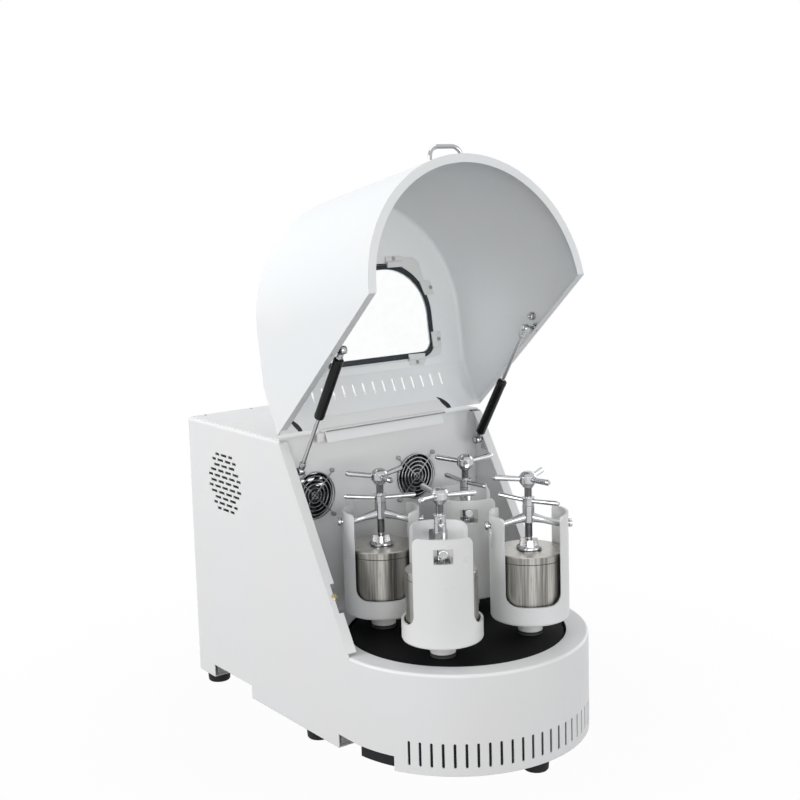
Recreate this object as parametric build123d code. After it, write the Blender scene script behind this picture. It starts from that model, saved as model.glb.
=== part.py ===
from build123d import *
import math
import os

# Planetary ball mill: a white sheet-steel cabinet with a round front drum, a hinged hood on two
# gas struts, and a turntable that carries four spinning jar holders.
# Millimetres. +Z up, the front faces -Y. The origin is on the floor under the middle of the
# object with the hood open. The hood and what it carries are drawn closed and then swung open.

# ---- cabinet -------------------------------------------------------------------------------
SHEET = 2.0  # sheet-steel thickness
BODY_WIDTH = 470.0
BODY_LENGTH = 775.0
BODY_HEIGHT = 537.0  # floor to the fold at the top of the side panels
FOOT_HEIGHT = 20.0
FOOT_RADIUS = 23.0
FOOT_SIDE_INSET = 27.0  # foot centre from the outside of the side panel
FOOT_MIDDLE_SETBACK = 142.0  # drum axis to the middle pair of feet
FOOT_REAR_SETBACK = 510.0
SKIRT_CUT_HEIGHT = 45.0  # floor to the raised stretches of the lower edge
RIM_HEIGHT = 193.0  # floor to the flat rim round the turntable
RIM_WIDTH = 39.0
RIM_FOLD_RADIUS = 5.0
FLANGE_WIDTH = 17.0  # inward fold along the slanted edges
TOP_FOLD_WIDTH = 15.0
TOP_FOLD_RADIUS = 6.0
FLOOR_FLANGE_WIDTH = 50.0
SLOT_COUNT = 26
SLOT_PITCH_DEG = 4.74
SLOT_WIDTH = 4.6
SLOT_BOTTOM = 34.0
SLOT_TOP = 76.0
SIDE_VENT_RADIUS = 62.0  # round field of short slots in the left side panel
SIDE_VENT_SETBACK = 402.0
SIDE_VENT_DROP = 110.0  # cabinet height to the middle of the field
SIDE_VENT_ROWS = 11
SIDE_VENT_PITCH = 10.6
SIDE_VENT_COLUMN = 28.0
SIDE_VENT_SLOT = 22.0
SIDE_VENT_SLOT_HEIGHT = 5.0
RAISED_SIDE = (333.0, 477.0)  # raised stretches of the lower edge, from the drum axis
RAISED_DRUM = (-95.6, 38.0)
RAISED_DRUM_INNER = 150.0
FLANGE_SLIM_LOW = 76.0  # the slanted edge's fold is narrower between these two
FLANGE_SLIM_HIGH = 270.0
LOUVRE_COUNT = 9
LOUVRE_PITCH = 14.0
LOUVRE_DROP = 75.0
LOUVRE_HALF_WIDTH = 80.0
LOUVRE_HEIGHT = 5.0
RUNNING_GAP = 0.3  # between faces that move past each other
SEAT_GAP = 0.2  # between faces that are bolted together

# ---- hinge and hood ------------------------------------------------------------------------
HINGE_SETBACK = 204.0  # drum axis to hinge axis
HINGE_RISE = 3.4  # hinge axis above the top of the cabinet
HINGE_PIN_RADIUS = 1.5
HINGE_BARREL_RADIUS = 3.1
HINGE_LENGTH = 288.0
HINGE_KNUCKLES = 12
HINGE_LEAF_THICKNESS = 1.2
LIP_HEIGHT = 17.0
LID_OPEN_DEG = 102.0
LID_FRONT_SETBACK = 12.0  # the hood's round front stands back from the drum's
LID_TOP_RISE = 27.6  # hinge axis to the bend in the hood's top, closed
LID_REAR_RISE = 4.6  # hinge axis to the rear edge of the hood's top
LID_FRONT_DROP = 24.0  # from the bend down to the front edge of the top
LID_BEND_SETBACK = 110.0  # drum axis to the bend in the hood's top
LID_REAR_GAP = 4.2  # hinge axis to the hood's rear edge
LID_EDGE_RADIUS = 11.0
LID_GAP = 2.0  # hood edge to cabinet edge, closed
LID_RIM_WIDTH = 15.0
LID_SIDE_FLANGE = 12.0
WINDOW_HALF_WIDTH = 152.0
WINDOW_FRONT = -83.0  # from the drum axis
WINDOW_REAR = 82.0
WINDOW_FRONT_RADIUS = 93.0
WINDOW_REAR_RADIUS = 20.0
PANE_THICKNESS = 3.0
PANE_LAP = 4.5
GASKET_WIDTH = 4.0
GASKET_THICKNESS = 5.0
VENT_COUNT = 15
VENT_PITCH = 23.0
VENT_SHIFT = 2.7
VENT_LENGTH = 25.0
VENT_WIDTH = 4.6
VENT_CENTRE_SETBACK = 139.0
HANDLE_HALF_SPAN = 36.0
HANDLE_REACH = 27.0
HANDLE_BAR_RADIUS = 4.0
HANDLE_HEIGHT = 240.0  # floor to the handle with the hood closed
HANDLE_BEND_RADIUS = 20.0
HANDLE_SPLAY = 4.0  # the handle's legs lean in by this much

# ---- turntable and planets -----------------------------------------------------------------
TABLE_RADIUS = 192.5
TABLE_TOP = 190.0
TABLE_THICKNESS = 14.0
TABLE_LIP = 3.0  # ring of the table that covers each planet bearing
PLANET_COUNT = 4
PLANET_PITCH_RADIUS = 133.0
PLANET_START_DEG = -48.7  # first planet, measured from the front towards +X
HOLDER_SPIN_DEG = 14.0  # how far each holder is turned off the radial line at rest
HOLDER_RADIUS = 69.5
HOLDER_WALL = 4.5
HOLDER_BOTTOM = 222.0
HOLDER_FLOOR = 6.0
HOLDER_CUP_TOP = 256.0
HOLDER_ARM_TOP = 409.0
HOLDER_GAP_HALF_WIDTH = 47.8
HOLDER_GAP_CORNER = 19.0
HOLDER_ARM_CORNER = 14.0
HOLDER_FOOT_RADIUS = 4.0
ARM_WINDOW_WIDTH = 32.0
ARM_WINDOW_HEIGHT = 25.0
ARM_WINDOW_TOP = 392.7
JAR_RADIUS = 61.5
JAR_WALL = 7.0
JAR_HEIGHT = 101.0
JAR_LID_THICKNESS = 13.5
JAR_HUB_RADIUS = 18.0
JAR_HUB_TOP_RADIUS = 15.5
JAR_HUB_HEIGHT = 18.0
JAR_LUG_HALF_WIDTH = 5.3
JAR_EDGE = 2.0

# ---- clamps --------------------------------------------------------------------------------
SCREW_RADIUS = 6.0
SCREW_FIT = 0.1
BEAM_ARM_RADIUS = 6.0
BEAM_ARM_HEIGHT = 401.0  # floor to the arms' centre line at the hub
BEAM_ARM_BEND = 52.0  # hub axis to where the arms turn level
BEAM_BEND_RADIUS = 45.0
BEAM_ROOT_RADIUS = 9.4
BEAM_ROOT_LENGTH = 30.0
BEAM_KNOB_RADIUS = 7.5
BEAM_KNOB_GAP = 0.8
BEAM_END = 76.6
BEAM_HUB_RADIUS = 10.5
BEAM_HUB_BOTTOM = 391.0
BEAM_HUB_TOP = 420.0
NUT_RADIUS = 10.0
NUT_HEIGHT = 15.0
NUT_ARMS = 2
NUT_ARM_RADIUS = 4.5
NUT_ARM_LENGTH = 64.0
NUT_ARM_TILT = 3.0
STAR_BOTTOM = 453.0
STAR_HEIGHT = 28.0
STAR_HUB_RADIUS = 15.0
STAR_ARMS = 3
STAR_ARM_RADIUS = 5.3
STAR_ARM_LENGTH = 62.0
STAR_ARM_TILT = 4.5
STAR_ANGLES = (50.5, 113.5, 83.5, 103.5)  # how far each handle is turned at rest
NUT_ANGLES = (143.5, 13.5, 176.5, 53.5)

# ---- drive ---------------------------------------------------------------------------------
SHAFT_RADIUS = 17.5
SPINDLE_RADIUS = 12.5
BEARING_FIT = 0.05
MAIN_BEARING_RADIUS = 36.0
MAIN_BEARING_WIDTH = 17.0
PLANET_BEARING_RADIUS = 26.0
PLANET_BEARING_WIDTH = 12.0
PULLEY_RADIUS_LARGE = 84.0  # sun pulley and driven pulley
PULLEY_RADIUS_SMALL = 28.0  # planet pulleys and motor pulley
PULLEY_FLANGE = 4.5
PULLEY_FLANGE_THICKNESS = 2.5
BELT_WIDTH = 14.0
BELT_THICKNESS = 3.5
BELT_GAP = 0.3
BELT_SIDE_GAP = 1.0
LOWER_BELT_HEIGHT = 71.0  # mid-plane of the motor belt
LOWER_TIER_HEIGHT = 124.0  # mid-planes of the two planet belts
UPPER_TIER_HEIGHT = 146.0
COLLAR_RADIUS = 22.0
SHOULDER_RADIUS = 16.5
SHOULDER_GAP = 1.0  # round the shoulder, in the table's lip
BASE_PLATE_BOTTOM = 46.0
BASE_PLATE_THICKNESS = 6.0
DRIVE_PLATE_BOTTOM = 94.0
DRIVE_PLATE_THICKNESS = 8.0
HOUSING_RADIUS = 44.0
HOUSING_FLANGE_RADIUS = 78.0
HOUSING_TOP = 165.0
MOTOR_SETBACK = 375.0
MOTOR_RADIUS = 72.0
MOTOR_LENGTH = 205.0
MOTOR_FINS = 24

# ---- fans ----------------------------------------------------------------------------------
WALL_SETBACK = 216.0  # drum axis to the front of the chamber's rear wall
FAN_SIZE = 92.0
FAN_DEPTH = 25.0
FAN_BORE_RADIUS = 43.5
FAN_HUB_RADIUS = 19.0
FAN_BLADES = 7
FAN_CENTRES = (-155.0, 80.0)
FAN_DROP = 114.0  # cabinet height to the fans' centres
GUARD_RINGS = 6
GUARD_OUTER_RADIUS = 44.5
GUARD_WIRE = 1.8
GUARD_STAND_OFF = 4.0
FAN_SCREW_SPACING = 82.5

# ---- gas struts ----------------------------------------------------------------------------
STRUT_SIDE = 205.0  # strut plane from the middle of the mill
STRUT_BASE_ALONG = 338.8  # lower ball, up along the slanted edge from its foot
STRUT_BASE_BELOW = 7.0  # and square to that edge, under it
STRUT_LID_ALONG = 163.3  # upper ball, likewise, with the hood closed
STRUT_LID_ABOVE = 9.8
STRUT_CYLINDER_RADIUS = 9.0
STRUT_CYLINDER_LENGTH = 128.0
STRUT_ROD_RADIUS = 3.5
STRUT_BORE_RADIUS = 3.9
STRUT_EYE_RADIUS = 7.0
STRUT_EYE_HALF_WIDTH = 6.0
STRUT_END_LENGTH = 19.0  # ball centre to the end of the cylinder
BALL_RADIUS = 4.5
BALL_FIT = 0.1
BALL_GRIP = 0.4  # how far the socket's mouth closes over the ball
STUD_RADIUS = 2.6

# ---- controls ------------------------------------------------------------------------------
PANEL_AZIMUTH = 68.0  # control panel, measured round the drum from the front towards +X
PANEL_WIDTH = 108.0
PANEL_HEIGHT = 76.0
PANEL_CENTRE_HEIGHT = 132.0
PANEL_FACE_RADIUS = 231.5  # drum axis to the panel's flat face
PANEL_DEPTH = 24.0
BUTTON_RADIUS = 8.0
BUTTON_GAP = 0.3
BUTTON_TRAVEL = 2.0
BUTTON_PROUD = 2.5
DISPLAY_WIDTH = 58.0
DISPLAY_HEIGHT = 30.0
INLET_WIDTH = 48.0
INLET_HEIGHT = 27.0
INLET_OFFSET = -150.0
INLET_CENTRE_HEIGHT = 95.0
SWITCH_WIDTH = 20.0
SWITCH_HEIGHT = 27.0
SWITCH_OFFSET = -105.0
SWITCH_TILT = 8.0
SWITCH_CHEEK = 2.0  # wall of the switch frame
TRUNNION_RADIUS = 1.5
TRUNNION_FIT = 0.1

# ---- values worked out from those above ----------------------------------------------------
HALF = BODY_WIDTH / 2
DRUM_Y = -BODY_LENGTH / 2 + HALF
REAR_Y = BODY_LENGTH / 2
HINGE_Y = DRUM_Y + HINGE_SETBACK
WALL_Y = DRUM_Y + WALL_SETBACK
MOTOR_Y = DRUM_Y + MOTOR_SETBACK
INNER = HALF - SHEET
COVER_TOP = BODY_HEIGHT + SHEET
HINGE_HEIGHT = COVER_TOP + HINGE_RISE
FAN_HEIGHT = BODY_HEIGHT - FAN_DROP
LID_Y = DRUM_Y + LID_FRONT_SETBACK
LID_BEND_Y = DRUM_Y + LID_BEND_SETBACK
LID_REAR_Y = HINGE_Y - LID_REAR_GAP
LID_TOP_HEIGHT = HINGE_HEIGHT + LID_TOP_RISE
LID_FRONT_DEG = math.degrees(math.atan2(LID_FRONT_DROP, LID_BEND_Y - LID_Y + HALF))
LID_REAR_FALL = (LID_TOP_RISE - LID_REAR_RISE) / (LID_REAR_Y - LID_BEND_Y)
SLANT_TOP_Y = HINGE_Y - 3.0
SLANT_DEG = math.degrees(math.atan2(BODY_HEIGHT - RIM_HEIGHT, SLANT_TOP_Y - DRUM_Y))
HINGE_AXIS = Axis((0, HINGE_Y, HINGE_HEIGHT), (1, 0, 0))
TABLE_BOTTOM = TABLE_TOP - TABLE_THICKNESS
COLLAR_BOTTOM = TABLE_TOP + 2 * RUNNING_GAP
SWITCH_PIVOT_Y = REAR_Y - 9.0
FAR = 2 * BODY_LENGTH


# ---- small helpers -------------------------------------------------------------------------
def block(x0, x1, y0, y1, z0, z1):
    """Box between two corners."""
    return Pos((x0 + x1) / 2, (y0 + y1) / 2, (z0 + z1) / 2) * Box(x1 - x0, y1 - y0, z1 - z0)


def rod(radius, z0, z1, x=0.0, y=0.0):
    """Upright cylinder."""
    return Pos(x, y, (z0 + z1) / 2) * Cylinder(radius, z1 - z0)


def cross_rod(radius, x0, x1, y, z):
    """Cylinder along X."""
    return Pos((x0 + x1) / 2, y, z) * Rot(0, 90, 0) * Cylinder(radius, abs(x1 - x0))


def deep_rod(radius, y0, y1, x, z):
    """Cylinder along Y."""
    return Pos(x, (y0 + y1) / 2, z) * Rot(90, 0, 0) * Cylinder(radius, abs(y1 - y0))


def turned(points, x=0.0, y=0.0):
    """Solid of revolution about an upright axis, from (radius, height) points."""
    outline = Polyline(*[(r, 0, z) for r, z in points], close=True)
    return Pos(x, y, 0) * revolve(make_face(outline), Axis.Z)


def side_profile(points, x0, x1):
    """Prism along X from (y, z) points."""
    outline = Polyline(*[(x0, y, z) for y, z in points], close=True)
    return extrude(make_face(outline), amount=x1 - x0, dir=(1, 0, 0))


def upright_at(x, y, azimuth):
    """Place at (x, y) whose local -Y points along the azimuth from the front towards +X."""
    return Pos(x, y, 0) * Rot(0, 0, azimuth)


def opened(shape):
    """Swing a piece drawn with the hood closed to its place with the hood open."""
    return shape.rotate(HINGE_AXIS, -LID_OPEN_DEG)


def drum_plan(radius, rear_y, axis_y=DRUM_Y):
    """Plan outline of a round front and the box behind it, at height 0."""
    front_half = Pos(0, axis_y - radius / 2) * Rectangle(2 * radius, radius)
    round_front = Pos(0, axis_y) * Circle(radius) & front_half
    box_plan = Pos(0, (axis_y + rear_y) / 2) * Rectangle(2 * radius, rear_y - axis_y)
    return round_front + box_plan


def drum_prism(radius, rear_y, z0, z1, axis_y=DRUM_Y):
    """Upright solid with that plan outline."""
    return Pos(0, 0, z0) * extrude(drum_plan(radius, rear_y, axis_y), amount=z1 - z0)


def planet_azimuth(index):
    return PLANET_START_DEG + index * 360.0 / PLANET_COUNT


def planet_place(index):
    """Centre of a planet in plan."""
    angle = math.radians(planet_azimuth(index))
    x = PLANET_PITCH_RADIUS * math.sin(angle)
    return x, DRUM_Y - PLANET_PITCH_RADIUS * math.cos(angle)


def slanted_line(offset):
    """Two (y, z) points on the slanted edge, moved by an offset square to it, up and forward."""
    slope = math.radians(SLANT_DEG)
    up_y = -math.sin(slope) * offset
    up_z = math.cos(slope) * offset
    foot = (DRUM_Y + up_y, RIM_HEIGHT + up_z)
    head = (SLANT_TOP_Y + up_y, BODY_HEIGHT + up_z)
    return foot, head


def beside_slant(along, offset):
    """Point (y, z) given along the slanted edge from its foot, and square to it."""
    slope = math.radians(SLANT_DEG)
    foot_y, foot_z = slanted_line(offset)[0]
    return foot_y + math.cos(slope) * along, foot_z + math.sin(slope) * along


def above_slant(offset, reach, x_reach):
    """Everything in front of and above the slanted edge, for cutting."""
    foot, head = slanted_line(offset)
    run_y = head[0] - foot[0]
    run_z = head[1] - foot[1]
    top = (head[0] + run_y * reach, head[1] + run_z * reach)
    points = [foot, top, (-FAR, top[1]), (-FAR, foot[1])]
    return side_profile(points, -x_reach, x_reach)


def slant_strip(offset, thickness, x0, x1, bottom_trim, top_trim):
    """Flat strip that lies along the slanted edge."""
    slope = math.radians(SLANT_DEG)
    (foot_y, foot_z), (head_y, head_z) = slanted_line(offset)
    (low_foot_y, low_foot_z), (low_head_y, low_head_z) = slanted_line(offset - thickness)
    along_y = math.cos(slope)
    along_z = math.sin(slope)
    points = [
        (foot_y + along_y * bottom_trim, foot_z + along_z * bottom_trim),
        (head_y - along_y * top_trim, head_z - along_z * top_trim),
        (low_head_y - along_y * top_trim, low_head_z - along_z * top_trim),
        (low_foot_y + along_y * bottom_trim, low_foot_z + along_z * bottom_trim),
    ]
    return side_profile(points, x0, x1)


# ---- cabinet pieces ------------------------------------------------------------------------
def make_drum_wall():
    """Half-round front wall with the flat rim ring folded inwards at its top."""
    fold_z = RIM_HEIGHT - RIM_FOLD_RADIUS
    fold_r = HALF - RIM_FOLD_RADIUS
    inner_fold = RIM_FOLD_RADIUS - SHEET
    slant = math.sqrt(0.5)
    outline = Curve() + [
        Line((HALF, 0, FOOT_HEIGHT), (HALF, 0, fold_z)),
        ThreePointArc(
            (HALF, 0, fold_z),
            (fold_r + RIM_FOLD_RADIUS * slant, 0, fold_z + RIM_FOLD_RADIUS * slant),
            (fold_r, 0, RIM_HEIGHT),
        ),
        Line((fold_r, 0, RIM_HEIGHT), (HALF - RIM_WIDTH, 0, RIM_HEIGHT)),
        Line((HALF - RIM_WIDTH, 0, RIM_HEIGHT), (HALF - RIM_WIDTH, 0, RIM_HEIGHT - SHEET)),
        Line((HALF - RIM_WIDTH, 0, RIM_HEIGHT - SHEET), (fold_r, 0, RIM_HEIGHT - SHEET)),
        ThreePointArc(
            (fold_r, 0, RIM_HEIGHT - SHEET),
            (fold_r + inner_fold * slant, 0, fold_z + inner_fold * slant),
            (INNER, 0, fold_z),
        ),
        Line((INNER, 0, fold_z), (INNER, 0, FOOT_HEIGHT)),
        Line((INNER, 0, FOOT_HEIGHT), (HALF, 0, FOOT_HEIGHT)),
    ]
    half_turn = revolve(make_face(outline), Axis.Z, revolution_arc=180)
    return Pos(0, DRUM_Y, 0) * Rot(0, 0, 180) * half_turn


def make_side_panel(side):
    """Side panel with its rounded fold over the top and a fold at the rear edge."""
    rear = REAR_Y - SHEET
    fold_z = BODY_HEIGHT - TOP_FOLD_RADIUS
    fold_x = HALF - TOP_FOLD_RADIUS
    inner_fold = TOP_FOLD_RADIUS - SHEET
    slant = math.sqrt(0.5)
    edge = HALF - TOP_FOLD_WIDTH
    under = BODY_HEIGHT - SHEET
    outline = Curve() + [
        Line((HALF, DRUM_Y, FOOT_HEIGHT), (HALF, DRUM_Y, fold_z)),
        ThreePointArc(
            (HALF, DRUM_Y, fold_z),
            (fold_x + TOP_FOLD_RADIUS * slant, DRUM_Y, fold_z + TOP_FOLD_RADIUS * slant),
            (fold_x, DRUM_Y, BODY_HEIGHT),
        ),
        Line((fold_x, DRUM_Y, BODY_HEIGHT), (edge, DRUM_Y, BODY_HEIGHT)),
        Line((edge, DRUM_Y, BODY_HEIGHT), (edge, DRUM_Y, under)),
        Line((edge, DRUM_Y, under), (fold_x, DRUM_Y, under)),
        ThreePointArc(
            (fold_x, DRUM_Y, under),
            (fold_x + inner_fold * slant, DRUM_Y, fold_z + inner_fold * slant),
            (INNER, DRUM_Y, fold_z),
        ),
        Line((INNER, DRUM_Y, fold_z), (INNER, DRUM_Y, FOOT_HEIGHT)),
        Line((INNER, DRUM_Y, FOOT_HEIGHT), (HALF, DRUM_Y, FOOT_HEIGHT)),
    ]
    panel = extrude(make_face(outline), amount=rear - DRUM_Y, dir=(0, 1, 0))
    panel = panel - block(0, fold_x, DRUM_Y - 1, HINGE_Y + TOP_FOLD_RADIUS, under - 1, BODY_HEIGHT + 1)
    # The side panels end in a slant behind the chamber.
    panel = panel - above_slant(0.0, 0.5, HALF + 1)
    panel = panel + slant_strip(0.0, SHEET, INNER - FLANGE_WIDTH, INNER + SHEET / 2, 6.0, 4.0)
    low_x = INNER - FLANGE_WIDTH - 1
    high_x = INNER - FLANGE_WIDTH / 2
    slim = slant_strip(1.0, 2 * SHEET, low_x, high_x, FLANGE_SLIM_LOW, FLANGE_SLIM_HIGH)
    panel = panel - slim
    back_fold = block(edge, INNER + SHEET / 2, rear - SHEET, rear, SKIRT_CUT_HEIGHT, under)
    panel = panel + back_fold
    return panel if side > 0 else mirror(panel, Plane.YZ)


def make_body_shell():
    """Side panels, drum wall and rim ring, bent and welded from one sheet."""
    rear = REAR_Y - SHEET
    shell = make_drum_wall() + make_side_panel(1) + make_side_panel(-1)
    # Inward flange at the bottom, which the feet are bolted to.
    flange = drum_prism(HALF - SHEET / 2, rear, FOOT_HEIGHT, FOOT_HEIGHT + SHEET)
    hollow = drum_prism(HALF - FLOOR_FLANGE_WIDTH, rear + 1, FOOT_HEIGHT - 1, FOOT_HEIGHT + 3)
    shell = shell + (flange - hollow)
    # The lower edge is raised between the feet.
    raised = (
        (RAISED_SIDE, HALF - FLOOR_FLANGE_WIDTH - 5.0),
        (RAISED_DRUM, RAISED_DRUM_INNER),
    )
    for (front, back), inner_x in raised:
        for side in (-1, 1):
            x0, x1 = sorted((side * inner_x, side * (HALF + 1)))
            gap = block(x0, x1, DRUM_Y + front, DRUM_Y + back, FOOT_HEIGHT - 1, SKIRT_CUT_HEIGHT)
            shell = shell - gap
    # Upright cooling slots round the skirt.
    slot = make_upright_slot()
    for index in range(SLOT_COUNT):
        azimuth = (index - (SLOT_COUNT - 1) / 2) * SLOT_PITCH_DEG
        shell = shell - upright_at(0, DRUM_Y, azimuth) * Pos(0, -HALF, 0) * slot
    shell = shell - make_side_vent()
    shell = shell - make_panel_opening()
    return shell


def make_upright_slot():
    """Cutter for one round-ended upright slot, at local -Y."""
    height = SLOT_TOP - SLOT_BOTTOM
    outline = SlotOverall(height, SLOT_WIDTH, rotation=90)
    cutter = extrude(Plane.XZ * outline, amount=6 * SHEET, both=True)
    return Pos(0, 0, (SLOT_TOP + SLOT_BOTTOM) / 2) * cutter


def make_side_vent():
    """Cutter for the round field of short slots in the left side panel."""
    cutters = []
    centre_y = DRUM_Y + SIDE_VENT_SETBACK
    centre_z = BODY_HEIGHT - SIDE_VENT_DROP
    for row in range(SIDE_VENT_ROWS):
        z = (row - (SIDE_VENT_ROWS - 1) / 2) * SIDE_VENT_PITCH
        shift = SIDE_VENT_COLUMN / 2 if row % 2 else 0.0
        half_chord = math.sqrt(max(SIDE_VENT_RADIUS**2 - z**2, 0.0))
        for column in range(-3, 4):
            centre = column * SIDE_VENT_COLUMN + shift
            low = max(centre - SIDE_VENT_SLOT / 2, -half_chord)
            high = min(centre + SIDE_VENT_SLOT / 2, half_chord)
            if high - low > 2 * SIDE_VENT_SLOT_HEIGHT:
                slot = block(
                    -HALF - SHEET,
                    -INNER + SHEET,
                    centre_y + low,
                    centre_y + high,
                    centre_z + z - SIDE_VENT_SLOT_HEIGHT / 2,
                    centre_z + z + SIDE_VENT_SLOT_HEIGHT / 2,
                )
                cutters.append(slot)
    return cutters


def panel_frame(distance):
    """Place on the control panel's centre line whose local -Y points outwards."""
    return upright_at(0, DRUM_Y, PANEL_AZIMUTH) * Pos(0, -distance, PANEL_CENTRE_HEIGHT)


def make_panel_opening():
    """Cutter for the control panel's opening in the drum wall."""
    width = PANEL_WIDTH + 2 * SEAT_GAP
    height = PANEL_HEIGHT + 2 * SEAT_GAP
    return panel_frame(HALF - 6.0) * Box(width, 40.0, height)


def make_rear_cover():
    """Top and back of the cabinet in one bent sheet, with the lip at the chamber's top edge."""
    half_top = HALF - SHEET * 2.5
    top = block(-half_top, half_top, HINGE_Y, REAR_Y, BODY_HEIGHT, COVER_TOP)
    back = block(-half_top, half_top, REAR_Y - SHEET, REAR_Y, FOOT_HEIGHT + 4.0, COVER_TOP)
    lip_half = HINGE_LENGTH / 2 + 6.0
    lip = block(-lip_half, lip_half, HINGE_Y, HINGE_Y + SHEET, COVER_TOP - LIP_HEIGHT, COVER_TOP)
    cover = top + back + lip
    rear_edge = cover.edges().filter_by(Axis.X).sort_by_distance((0, REAR_Y, COVER_TOP))[0]
    cover = fillet(rear_edge, TOP_FOLD_RADIUS)
    for index in range(LOUVRE_COUNT):
        z = BODY_HEIGHT - LOUVRE_DROP - index * LOUVRE_PITCH
        y0 = REAR_Y - 2 * SHEET
        y1 = REAR_Y + SHEET
        cover = cover - block(-LOUVRE_HALF_WIDTH, LOUVRE_HALF_WIDTH, y0, y1, z, z + LOUVRE_HEIGHT)
    inlet_gap = 2 * SEAT_GAP
    for offset, width, height in (
        (INLET_OFFSET, INLET_WIDTH, INLET_HEIGHT),
        (SWITCH_OFFSET, SWITCH_WIDTH + 2 * SWITCH_CHEEK, SWITCH_HEIGHT + 2 * SWITCH_CHEEK),
    ):
        opening = Box(width + inlet_gap, 6 * SHEET, height + inlet_gap)
        cover = cover - Pos(offset, REAR_Y, INLET_CENTRE_HEIGHT) * opening
    return cover


def make_deck_plate():
    """Floor of the chamber behind the rim ring."""
    top = RIM_HEIGHT
    plate = block(-INNER + 0.2, INNER - 0.2, DRUM_Y, WALL_Y + SHEET, top - SHEET, top)
    return plate - rod(HALF - RIM_WIDTH, top - 2 * SHEET, top + SHEET, 0, DRUM_Y)


def make_chamber_wall():
    """Rear wall of the chamber with two fan openings."""
    half = INNER - 0.3
    wall = block(-half, half, WALL_Y, WALL_Y + SHEET, RIM_HEIGHT, BODY_HEIGHT - 0.2)
    foot = block(-half, half, WALL_Y, WALL_Y + 14.0, RIM_HEIGHT, RIM_HEIGHT + SHEET)
    foot = foot - block(-half - 1, half + 1, WALL_Y + SHEET, WALL_Y + 20.0, 0, RIM_HEIGHT)
    head_top = BODY_HEIGHT - 0.2
    head_half = HALF - TOP_FOLD_WIDTH - 1.0
    head = block(-head_half, head_half, WALL_Y, WALL_Y + 14.0, head_top - SHEET, head_top)
    wall = wall + foot + head
    corner = HALF - TOP_FOLD_WIDTH - 0.5
    for side in (-1, 1):
        x0, x1 = sorted((side * corner, side * HALF))
        wall = wall - block(x0, x1, WALL_Y - 1, REAR_Y, BODY_HEIGHT - 3 * SHEET, BODY_HEIGHT)
    for x in FAN_CENTRES:
        wall = wall - deep_rod(FAN_BORE_RADIUS, WALL_Y - 1, WALL_Y + 5, x, FAN_HEIGHT)
    return wall


FOOT_POSITIONS = (
    (-HALF + FOOT_SIDE_INSET, DRUM_Y + FOOT_MIDDLE_SETBACK),
    (HALF - FOOT_SIDE_INSET, DRUM_Y + FOOT_MIDDLE_SETBACK),
    (-HALF + FOOT_SIDE_INSET, DRUM_Y + FOOT_REAR_SETBACK),
    (HALF - FOOT_SIDE_INSET, DRUM_Y + FOOT_REAR_SETBACK),
    (0.0, DRUM_Y - HALF + FOOT_SIDE_INSET + 1.0),
)


def make_rubber_feet():
    """Five tapered rubber feet under the bottom flange."""
    profile = [
        (0.0, 0.0),
        (FOOT_RADIUS - 3.0, 0.0),
        (FOOT_RADIUS - 1.5, 2.0),
        (FOOT_RADIUS, FOOT_HEIGHT),
        (0.0, FOOT_HEIGHT),
    ]
    return [turned(profile, x, y) for x, y in FOOT_POSITIONS]


def make_base_frame():
    """Base plate on rails, with the drive plate above it on posts."""
    plate_top = BASE_PLATE_BOTTOM + BASE_PLATE_THICKNESS
    edge = HALF - 8.0
    frame = drum_prism(edge, REAR_Y - 12.0, BASE_PLATE_BOTTOM, plate_top)
    rail_bottom = FOOT_HEIGHT + SHEET
    rails = (
        (DRUM_Y + 45.0, DRUM_Y + 325.0),
        (DRUM_Y + 484.0, REAR_Y - 14.0),
    )
    for y0, y1 in rails:
        for side in (-1, 1):
            x0, x1 = sorted((side * (HALF - 44.0), side * (HALF - 10.0)))
            frame = frame + block(x0, x1, y0, y1, rail_bottom, BASE_PLATE_BOTTOM + 1)
    front_y = DRUM_Y - HALF + FOOT_SIDE_INSET + 1.0
    frame = frame + block(-40, 40, front_y - 15, front_y + 15, rail_bottom, BASE_PLATE_BOTTOM + 1)
    frame = frame - rod(60.0, BASE_PLATE_BOTTOM - 1, plate_top + 1, 0, DRUM_Y)
    drive_top = DRIVE_PLATE_BOTTOM + DRIVE_PLATE_THICKNESS
    y0 = DRUM_Y - 140.0
    y1 = MOTOR_Y + 95.0
    frame = frame + block(-140.0, 140.0, y0, y1, DRIVE_PLATE_BOTTOM, drive_top)
    for x in (-125.0, 125.0):
        for y in (DRUM_Y - 122.0, DRUM_Y + 122.0, MOTOR_Y + 78.0):
            frame = frame + rod(11.0, plate_top - 1, DRIVE_PLATE_BOTTOM + 1, x, y)
    frame = frame - rod(HOUSING_RADIUS + SEAT_GAP, DRIVE_PLATE_BOTTOM - 1, drive_top + 1, 0, DRUM_Y)
    frame = frame - rod(32.0, DRIVE_PLATE_BOTTOM - 1, drive_top + 1, 0, MOTOR_Y)
    return frame


HOUSING_BOTTOM = DRIVE_PLATE_BOTTOM - 2.0
HOUSING_FLANGE_BOTTOM = DRIVE_PLATE_BOTTOM + DRIVE_PLATE_THICKNESS


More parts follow.
